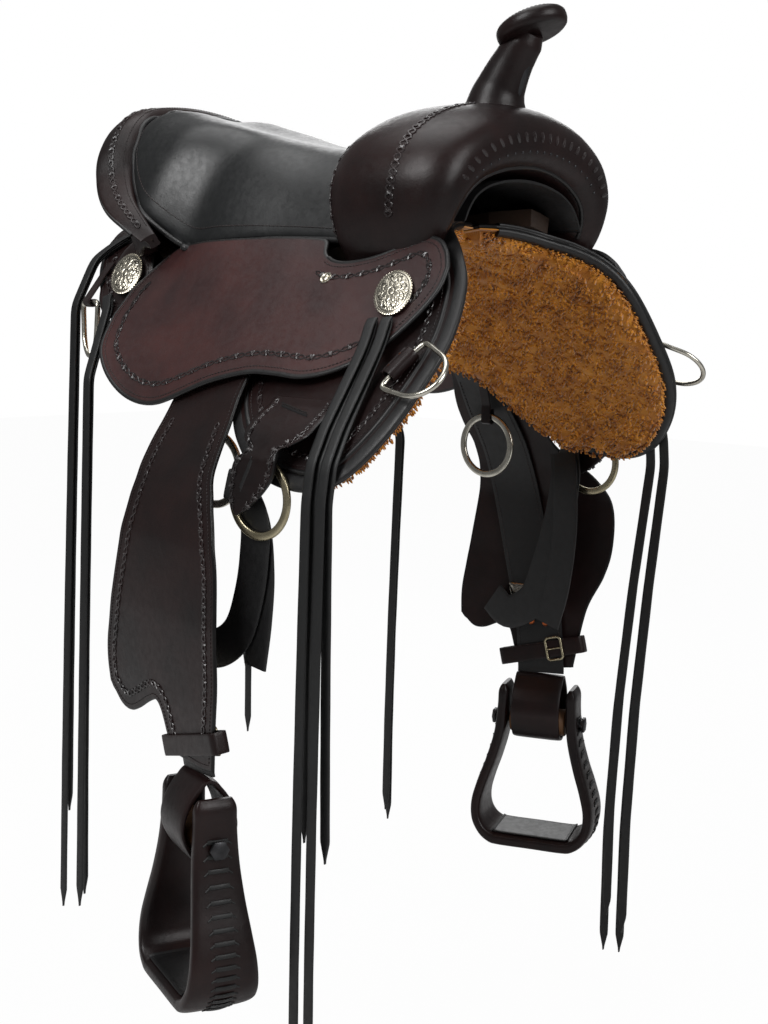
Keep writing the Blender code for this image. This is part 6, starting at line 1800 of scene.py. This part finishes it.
@dataclass
class Fender(SubAssembly):
    """The fender with its borders, the stirrup leather behind it and the hobble strap."""

    strap_width: float = 0.064
    lie: float = 0.0026
    hobble_width: float = 0.022

    def build(self) -> None:
        """Builds the three leathers."""
        body = f"fender{self.tail}_hung"
        table = np.array(FENDER_EDGES[self.side])
        dense = spread(table, np.linspace(0, len(table) - 1, 300))
        bottom = np.array(FENDER_BOTTOM[self.side])
        rim = np.array([0.0, 0.0005, 0.0012, 0.002, 0.003, 0.0045])
        columns = np.r_[rim / 0.15, np.linspace(0.05, 0.95, 70), 1 - rim[::-1] / 0.15]
        rows = np.r_[rim / 0.39, np.linspace(0.03, 0.97, 110), 1 - rim[::-1] / 0.39]
        low = np.interp(columns, bottom[:, 0], bottom[:, 1])
        low = np.convolve(np.pad(low, 3, mode="edge"), np.ones(7) / 7, "valid")
        z = table[0, 0] + (low[:, None] - table[0, 0]) * rows[None]
        front, rear = (np.interp(-z, -dense[:, 0], dense[:, k]) for k in (1, 2))
        y = front + (rear - front) * columns[:, None]

        def surface(a: Array, b: Array, lift: Array) -> Array:
            return fender_point(self.side, -b, a, lift)

        sheet = Sheet(surface, y, -z, THICK.fender / 2)
        self.put(sheet.add_to(Shape()), "fender_leather", self.finishes.dark, "dark_leather", "fender",
            body=body)
        sewn, tooled = Shape(), Shape()
        sheet.line(0.0065, lambda a, b: b > 0.112).stitches(sewn, 0.0040, 0.0026)
        sheet.line(0.0185, lambda a, b: b > 0.162).wire(tooled, 0.0030, 0.0010, 0.019)
        self.put(sewn, "fender_stitches", self.finishes.thread, "dark_leather", body=body)
        self.put(tooled, "fender_tooling", self.finishes.tooled, "dark_leather", body=body)
        self.leather(body)
        self.hobble(body)

    def leather(self, body: str) -> None:
        """Builds the stirrup leather with the loop that carries the stirrup."""
        path = [SKIRT.lifted(0.0, s, lift) for s, lift in ((0.090, 0.0290), (0.118, 0.0300),
            (0.150, 0.0235))]
        path += [np.array([0.1945, 0.0, -0.075]), np.array([0.2066, 0.0, -0.090]),
            np.array([0.2178, 0.0, -0.104])]
        back = -THICK.fender / 2 - self.lie - THICK.strap / 2
        for z in (-0.118, -0.132, -0.148, -0.168, -0.190, -0.215, -0.240, -0.270, -0.310, -0.370, -0.430,
            -0.465, -0.506):
            y = float(np.interp(-z, (0.13, 0.25, 0.35, 0.44, 0.50), (0.0, -0.010, -0.030, -0.054, -0.0625)))
            path.append(fender_point(self.side, z, y, back))
        path.append(STIRRUP_AXIS + np.array([0, 0, 0.0640]))
        path = smooth(path, 130)
        yaw = fender_yaw(self.side, path[:, 2])
        wide = np.stack([np.sin(yaw), -np.cos(yaw), np.zeros(len(yaw))], 1)
        shape = belt(Shape(), path, wide, self.strap_width, THICK.strap)
        self.put(shape, "stirrup_strap", self.finishes.black, "black_leather", "stirrup_leather", body=body)
        trim = Shape()
        tangent = np.gradient(path, axis=0)
        normal = unit(np.cross(tangent, wide))
        normal = normal * np.where(normal[:, :1] > 0, -1.0, 1.0)
        for sign in (-1, 1):
            face = path + normal * THICK.strap / 2 + wide * sign * (self.strap_width / 2 - 0.0045)
            Trim(face[45:-4], normal[45:-4]).stitches(trim, 0.0046, 0.0030)
        self.put(trim, "strap_stitches", self.finishes.thread, "black_leather", body=body)
        self.loop(body)
        self.sleeve(body, path, normal, wide)

    def loop(self, body: str) -> None:
        """Builds the brown lined loop round the stirrup's roller."""
        across, out = STIRRUP_ACROSS, STIRRUP_OUT
        inside = np.array([(0.0, -0.0190), (0.0120, -0.0150), (0.0200, -0.0040), (0.0255, 0.0100),
            (0.0240, 0.0250), (0.0170, 0.0400), (0.0080, 0.0510), (0.0015, 0.0580)])
        outside = np.array([(0.0, -0.0245), (0.0155, -0.0195), (0.0250, -0.0070), (0.0310, 0.0100),
            (0.0295, 0.0260), (0.0225, 0.0425), (0.0135, 0.0550), (0.0070, 0.0660)])
        middle, half = (inside + outside) / 2, np.linalg.norm(outside - inside, axis=1) / 2
        line = np.vstack([middle[:-1], [(0.0040, 0.0600)], [(-0.0040, 0.0600)],
            (middle * (-1, 1))[-2:0:-1]])
        thick = np.r_[half[:-1], 0.0026, 0.0026, half[-2:0:-1]]
        rows = np.column_stack([line, thick])
        wrapped = np.vstack([rows[-2:], rows, rows[:3]])
        fine = spread(wrapped, 2 + np.linspace(0, len(rows), 120, endpoint=False))
        path = STIRRUP_AXIS + fine[:, :1] * out + fine[:, 1:2] * UP
        step = beside(path)
        normals = unit(np.cross(step, across))
        shape = Shape().tube(path, normals, self.strap_width / 2, np.minimum(fine[:, 2], 0.0031), 24,
            closed=True, tag=9.0, power=5.0)
        self.put(shape, "stirrup_loop", self.finishes.dark, "dark_leather", body=body)

    def sleeve(self, body: str, path: Array, normal: Array, wide: Array) -> None:
        """Builds the metal sleeve that sets the leather's length, and the rivets under it."""
        k = int(np.argmin(abs(path[:, 2] + 0.415)))
        up = unit(path[k - 3] - path[k + 3])
        steel = Shape()
        half_w, half_t, corner = self.strap_width / 2 + 0.0012, THICK.strap / 2 + 0.0010, 0.0009
        ring = [(half_w, -half_t + corner), (half_w, half_t - corner), (half_w - corner, half_t),
            (-half_w + corner, half_t), (-half_w, half_t - corner), (-half_w, -half_t + corner),
            (-half_w + corner, -half_t), (half_w - corner, -half_t)]
        line = np.array([path[k] + wide[k] * a + normal[k] * b for a, b in ring])
        line = evened(line, 80)
        steel.tube(line, unit(np.cross(beside(line), up)), 0.015, 0.0006, 12, closed=True, power=5.0)
        self.put(steel, "strap_sleeve", self.finishes.nickel, "nickel", body=body)
        rivets = Shape()
        spots, ways = [], []
        for z, shift in ((-0.448, 0.010), (-0.448, -0.010)):
            j = int(np.argmin(abs(path[:, 2] - z)))
            spots.append(path[j] + normal[j] * (THICK.strap / 2) + wide[j] * shift)
            ways.append(normal[j])
        rivets.stamp(DOME_POINTS, DOME_FACES, np.array(spots), np.tile(up, (2, 1)), np.array(ways), 0.0050,
            0.0)
        self.put(rivets, "strap_rivets", self.finishes.copper, "nickel", body=body)

    def hobble(self, body: str) -> None:
        """Builds the strap buckled round the fender and the leather above the stirrup."""
        place = fender_point(self.side, -0.485, -0.0625, -(THICK.strap + self.lie) / 2)
        yaw = float(fender_yaw(self.side, place[2]))
        wide = np.array([math.sin(yaw), -math.cos(yaw), 0.0])
        normal = (fender_point(self.side, -0.485, -0.0625, 1.0) - fender_point(self.side, -0.485, -0.0625,
            0.0))
        rise = np.cross(wide, normal)
        rise = rise * (1 if rise[2] > 0 else -1)
        lean = math.radians(15)
        wide, rise = (wide * math.cos(lean) + rise * math.sin(lean),
            rise * math.cos(lean) - wide * math.sin(lean))
        half_w = 0.0560 + 0.0015
        half_t = (THICK.strap + THICK.fender + self.lie) / 2 + 0.0014 + 0.0015
        c = 0.0034
        ring = [(-half_w, -half_t + c), (-half_w + c * 0.3, -half_t + c * 0.3), (-half_w + c, -half_t),
            (half_w - c, -half_t), (half_w - c * 0.3, -half_t + c * 0.3), (half_w, -half_t + c),
            (half_w, half_t - c), (half_w - c * 0.3, half_t - c * 0.3), (half_w - c, half_t),
            (-half_w + c, half_t), (-half_w + c * 0.3, half_t - c * 0.3), (-half_w, half_t - c)]
        line = np.array([place + wide * a + normal * b for a, b in ring])
        line = evened(line, 120)
        shape = belt(Shape(), line, rise, self.hobble_width, 0.0028, closed=True)
        self.put(shape, "hobble_leather", self.finishes.dark, "dark_leather", "hobble_strap", body=body)
        buckle = Shape()
        centre = place - normal * (half_t + 0.0030) + wide * 0.020
        c, a, b = 0.003, 0.0105, 0.0145
        frame_line = [(a, -b + c), (a, b - c), (a - c, b), (-a + c, b), (-a, b - c), (-a, -b + c),
            (-a + c, -b), (a - c, -b)]
        path = np.array([centre + wide * p + rise * q for p, q in frame_line])
        path = evened(path, 64)
        buckle.tube(path, normal, 0.0016, 0.0014, 10, closed=True)
        tongue = np.array([centre + wide * t - normal * 0.0012 for t in np.linspace(-0.011, 0.0115, 12)])
        buckle.tube(tongue, normal, 0.0011, 0.0011, 8)
        self.put(buckle, "hobble_buckle", self.finishes.brass, "nickel", body=body)


@dataclass
class Stirrup(SubAssembly):
    """The leather-covered stirrup, its tread leather, its laced corners and the bolt."""

    wall: float = 0.015
    tread_wall: float = 0.018
    tread: float = -0.7350
    bolt: float = 0.006
    roller: float = 0.0176

    def build(self) -> None:
        """Builds the stirrup and its bolt."""
        body = f"stirrup{self.tail}_hung"
        across, out = STIRRUP_ACROSS, STIRRUP_OUT
        origin = np.array([STIRRUP_AXIS[0], STIRRUP_AXIS[1], 0.0])
        half = [(0.0450, -0.530, 0.045), (0.0455, -0.562, 0.046), (0.0490, -0.597, 0.050),
            (0.0580, -0.632, 0.056), (0.0680, -0.662, 0.063), (0.0745, -0.688, 0.070),
            (0.0735, -0.709, 0.075), (0.0655, -0.7240, 0.079), (0.0540, -0.7325, 0.080),
            (0.0420, self.tread, 0.080), (0.0, self.tread, 0.080)]
        line = np.array(half + [(-b, z, d) for b, z, d in half[-2::-1]])
        fine = spread(line, np.linspace(0, len(line) - 1, 190))
        path = origin + fine[:, :1] * across + fine[:, 1:2] * UP
        tangent = unit(np.gradient(path, axis=0))
        normals = unit(np.cross(tangent, out))
        flat = np.clip((self.tread + 0.012 - fine[:, 1]) / 0.010, 0, 1)
        thick = (self.wall + (self.tread_wall - self.wall) * flat) / 2
        end = np.minimum(np.arange(190), np.arange(190)[::-1])
        cap = np.sqrt(np.clip(1 - (1 - np.clip(end / 4, 0, 1)) ** 2, 0.12, 1))
        shape = Shape().tube(path, normals, fine[:, 2] / 2 * (0.7 + 0.3 * cap), thick * cap, 32, tag=20.0,
            power=4.2)
        self.put(shape, "stirrup_leather_cover", self.finishes.dark, "dark_leather", "stirrup", body=body)
        tread = Shape()
        keep = abs(fine[:, 0]) < 0.056
        keep &= fine[:, 1] < self.tread + 0.006
        inward = normals * np.sign((normals * UP).sum(1))[:, None]
        top = path[keep] + inward[keep] * (thick[keep, None] + 0.0004)
        tread.tube(top, inward[keep], 0.0345, 0.0016, 16, tag=9.0, power=4.0)
        self.put(tread, "tread_leather", self.finishes.black, "black_leather", body=body)
        lacing = Shape()
        outward = normals * np.sign((normals * (path - path.mean(0))).sum(1))[:, None]
        for start, stop in ((12, 78), (112, 178)):
            for k in range(start, stop, 4):
                t = np.linspace(-1, 1, 11)[:, None]
                face = path[k] + outward[k] * (thick[k] + 0.0002)
                rung = face + out * 0.0105 * t + outward[k] * 0.0010 * (1 - t ** 2)
                lacing.tube(rung, outward[k], 0.0023, 0.0010, 10, tag=9.0, power=3.0)
                for sign in (-1, 1):
                    a, b = out * 0.0100 * sign, out * 0.0150 * sign + path[k + 1] - path[k]
                    lacing.tube(face + a + (b - a) * np.linspace(0, 1, 5)[:, None], outward[k], 0.0010,
                        0.0008, 8, tag=9.0)
        self.put(lacing, "stirrup_lacing", self.finishes.lace, "black_leather", body=body)
        self.pin(body)

    def pin(self, body: str) -> None:
        """Builds the bolt with its nuts and the roller that the leather turns on."""
        w, inner = 0.0500 + self.wall / 2, 0.0450 - self.wall / 2 - 0.0012

        def turned(shape: Shape, profile: Points, sides: int) -> None:
            a = around(sides)[:, None]
            rings = [STIRRUP_AXIS + STIRRUP_ACROSS * x + (STIRRUP_OUT * np.cos(a) + UP * np.sin(a)) * r
                for x, r in profile]
            shape.loft(np.array(rings))

        steel = Shape()
        turned(steel, ((-w, self.bolt - 0.0001), (w, self.bolt - 0.0001)), 32)
        for sign in (-1, 1):
            ends = [(w + 0.0005, 0.0104), (w + 0.0036, 0.0104), (w + 0.0045, 0.009)]
            turned(steel, [(x * sign, r) for x, r in ends[::sign]], 6)
        self.put(steel, "bolt_and_nuts", self.finishes.steel, "forged_steel", "stirrup_bolt", body=body)
        roll = Shape()
        r = self.roller
        turned(roll, ((-inner, r * 0.45), (-inner, r - 0.001), (-inner + 0.001, r), (inner - 0.001, r),
            (inner, r - 0.001), (inner, r * 0.45)), 48)
        self.put(roll, "roller", self.finishes.sole, "nickel", body=body)


def housing_lift(y: float, s: float) -> float:
    """The middle of a lace that lies on the rear housing."""
    rise = float(housing_rise(y, s))
    return THICK.skirt / 2 + THICK.gap + rise + THICK.housing + THICK.gap + THICK.lace / 2


@dataclass
class Strings(SubAssembly):
    """The saddle strings: flat latigo laces tied at the conchos and the rear housings."""

    def build(self) -> None:
        """Builds each tail as its own cord."""
        low = THICK.jockey / 2 + 0.0012 + THICK.lace / 2
        for letter, (shift, ends) in zip("ab", FRONT_TAILS[self.side]):
            tails = []
            for layer, (sway, bottom) in enumerate(ends):
                rise = low + layer * (THICK.lace + 0.0020)
                y = -0.208 + shift
                tail = [JOCKEY.lifted(a, s, lift) for a, s, lift in ((y + 0.002, 0.122, rise),
                    (y - 0.001, 0.136, rise), (y - 0.004, 0.150, rise), (y - 0.007, 0.166, rise + 0.001))]
                x = 0.2945 + layer * 0.0055
                y = FRONT_FALL[self.side] + shift * 1.05 + layer * 0.004
                tail += [np.array([0.2720 + layer * 0.0055, y, -0.155]), np.array([x - 0.0055, y, -0.188]),
                    np.array([x, y, -0.225])]
                for share in (0.25, 0.5, 0.75, 1.0):
                    tail.append(np.array([x + sway[0] * share, y + sway[1] * math.sin(share * 2.0),
                        -0.225 + (bottom + 0.225) * share]))
                tails.append(tail)
            fold = (tails[0][0] + tails[1][0]) / 2 + (tails[0][0] - tails[0][1]) * 0.10
            self.pair(f"front_string_{letter}", tails, fold)
        for name, steps, places, ends in REAR_TAILS[self.side]:
            tails = []
            for layer, (sway, bottom) in enumerate(ends):
                rise = layer * (THICK.lace + 0.0020)
                tail = [SKIRT.lifted(y, s, np.array(housing_lift(y, s) + 0.0016 + rise)) for y, s in steps]
                tail += [np.array([x + rise, y, z]) for x, y, z in places]
                x, y, z = places[-1]
                for share in (0.25, 0.5, 0.75, 1.0):
                    tail.append(np.array([x + rise + sway[0] * share, y + sway[1] * math.sin(share * 2.0),
                        z + (bottom - z) * share]))
                tails.append(tail)
            fold = (tails[0][0] + tails[1][0]) / 2 + (tails[0][0] - tails[0][1]) * 0.12
            self.pair(name, tails, fold)

    def pair(self, name: str, tails: list, fold: Array) -> None:
        """Builds the two tails of one lace."""
        for letter, tail in zip("xy", tails):
            path = np.vstack([[fold], tail])
            path = at_shares(path, np.linspace(0, 1, 160))
            for _ in range(3):
                path[1:-1] = (path[:-2] + 2 * path[1:-1] + path[2:]) / 4
            run = running(path)
            tip = np.clip((run[-1] - run) / 0.022, 0.10, 1)
            curl = 1 - 0.03 * np.sin(run * 40) ** 2
            tangent = np.gradient(path, axis=0)
            flat = np.cross(unit(tangent), (0.0, 1.0, 0.0))
            shape = Shape().tube(path, unit(flat), LACE_WIDTH / 2 * 0.96 * tip * curl,
                THICK.lace / 2 * 0.94, 14, tag=9.0, power=4.0)
            made = self.put(shape, f"{name}_{letter}", self.finishes.lace, "black_leather", name,
                creases=60)


@dataclass
class Studio:
    """The camera, the white surroundings and the lamps."""

    eye: tuple[float, float, float] = (-1.3277, -1.1746, -0.0387)
    back: tuple[float, float, float] = (-0.74587, -0.65989, 0.09063)
    azimuth: float = math.radians(-48.5)
    roll: float = math.radians(-1.4)
    lens: float = 52.98
    shift: tuple[float, float] = (0.0264, -0.0664)
    floor: float = -0.905

    def build_camera(self) -> None:
        """Sets the camera where the photograph was taken from."""
        back = unit(np.array(self.back))
        right = np.array([math.cos(self.azimuth), math.sin(self.azimuth), 0.0])
        right = unit(right - back * (right @ back))
        up = np.cross(back, right)
        c, s = math.cos(self.roll), math.sin(self.roll)
        right, up = c * right - s * up, s * right + c * up
        lens = bpy.data.cameras.new("camera")
        lens.lens, lens.sensor_width, lens.sensor_fit = self.lens, 36.0, "AUTO"
        lens.shift_x, lens.shift_y = self.shift
        lens.clip_start = 0.05
        camera = bpy.data.objects.new("camera", lens)
        bpy.context.scene.collection.objects.link(camera)
        turn = np.eye(4)
        turn[:3, 0], turn[:3, 1], turn[:3, 2], turn[:3, 3] = right, up, back, self.eye
        camera.matrix_world = Matrix(turn.tolist())
        bpy.context.scene.camera = camera

    def build_light(self) -> None:
        """Builds the floor, the world and the lamps."""
        scene = bpy.context.scene
        scene.view_settings.view_transform = "Standard"
        world = bpy.data.worlds.new("white room")
        scene.world = world
        world.use_nodes = True
        tree = world.node_tree
        tree.nodes.clear()
        rays = add_node(tree, "LightPath")
        seen = add_node(tree, "Math", {0: rays.outputs["Is Camera Ray"],
            1: rays.outputs["Is Transmission Ray"]}, operation="MAXIMUM")
        room = add_node(tree, "Background", {"Color": (1.0, 1.0, 1.0, 1.0), "Strength": 0.17})
        white = add_node(tree, "Background", {"Color": (1.0, 1.0, 1.0, 1.0), "Strength": 1.0})
        mixed = add_node(tree, "MixShader", {0: seen, 1: room, 2: white})
        add_node(tree, "OutputWorld", {"Surface": mixed})
        made = bpy.data.materials.new("white paper floor")
        made.use_nodes = True
        tree = made.node_tree
        shader = tree.nodes["Principled BSDF"]
        feed(shader, {"Base Color": (0.62, 0.62, 0.62, 1.0), "Roughness": 0.9})
        rays = add_node(tree, "LightPath")
        glow = add_node(tree, "Emission", {"Color": (1.0, 1.0, 1.0, 1.0), "Strength": 1.0})
        share = add_node(tree, "Math", {0: rays.outputs["Is Camera Ray"], 1: 0.975}, operation="MULTIPLY")
        mixed = add_node(tree, "MixShader", {0: share, 1: shader, 2: glow})
        feed(tree.nodes["Material Output"], {"Surface": mixed})
        size = 8.0
        mesh = bpy.data.meshes.new("floor")
        mesh.from_pydata([(-size, -size, self.floor), (size, -size, self.floor), (size, size, self.floor),
            (-size, size, self.floor)], [], [(0, 1, 2, 3)])
        mesh.materials.append(made)
        ground = bpy.data.objects.new("floor", mesh)
        scene.collection.objects.link(ground)
        for name, place, power, size in (("window left", (-2.2, 0.2, 1.5), 40.0, 1.2),
            ("window front", (-0.3, -2.4, 1.0), 34.0, 1.4), ("ceiling", (0.0, 0.3, 2.3), 30.0, 2.0),
            ("back fill", (2.0, 1.4, 0.8), 22.0, 1.6)):
            lamp = bpy.data.lights.new(name, "AREA")
            lamp.energy, lamp.size = power, size
            holder = bpy.data.objects.new(name, lamp)
            holder.location = place
            aim = unit(np.array([0.0, 0.0, -0.15]) - np.array(place))
            side = unit(np.cross(-aim, [0.0, 0.0, 1.0]) * -1)
            turn = np.eye(4)
            turn[:3, 0], turn[:3, 1] = side, np.cross(-aim, side)
            turn[:3, 2], turn[:3, 3] = -aim, place
            holder.matrix_world = Matrix(turn.tolist())
            scene.collection.objects.link(holder)


def dress_tree(finishes: Finishes) -> None:
    """Gives the solids of the tree, which stay in sight where they show, their material."""
    for name, finish in (("tree_bar_left", finishes.rawhide), ("tree_bar_right", finishes.rawhide),
        ("fork", finishes.rawhide), ("cantle_board", finishes.rawhide), ("ground_seat", finishes.sole),
        ("horn_post", finishes.steel)):
        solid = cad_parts[name]
        solid.data.materials.clear()
        solid.data.materials.append(finish)


def main() -> None:
    """Builds the looks of the whole saddle."""
    logging.basicConfig(level=logging.INFO, stream=sys.stdout, format="%(name)s: %(message)s")
    studio = Studio()
    studio.build_camera()
    finishes = Finishes.make()
    for side in Side:
        Strings(finishes, side).build()
    studio.build_light()
    Fork(finishes).build()
    Horn(finishes).build()
    Cantle(finishes).build()
    Seat(finishes).build()
    front = ("front_concho", jockey_face, -0.206, 0.089, 0.0022)
    rear = ("rear_concho", housing_face, 0.2340, 0.1560, 0.0046)
    for side in Side:
        Skirts(finishes, side).build()
        Jockeys(finishes, side).build()
        for place in (front, rear):
            Concho(*place).build(finishes, side)
        Rigging(finishes, side).build()
        Fender(finishes, side).build()
        Stirrup(finishes, side).build()
    dress_tree(finishes)


if __name__ == "__main__":
    main()
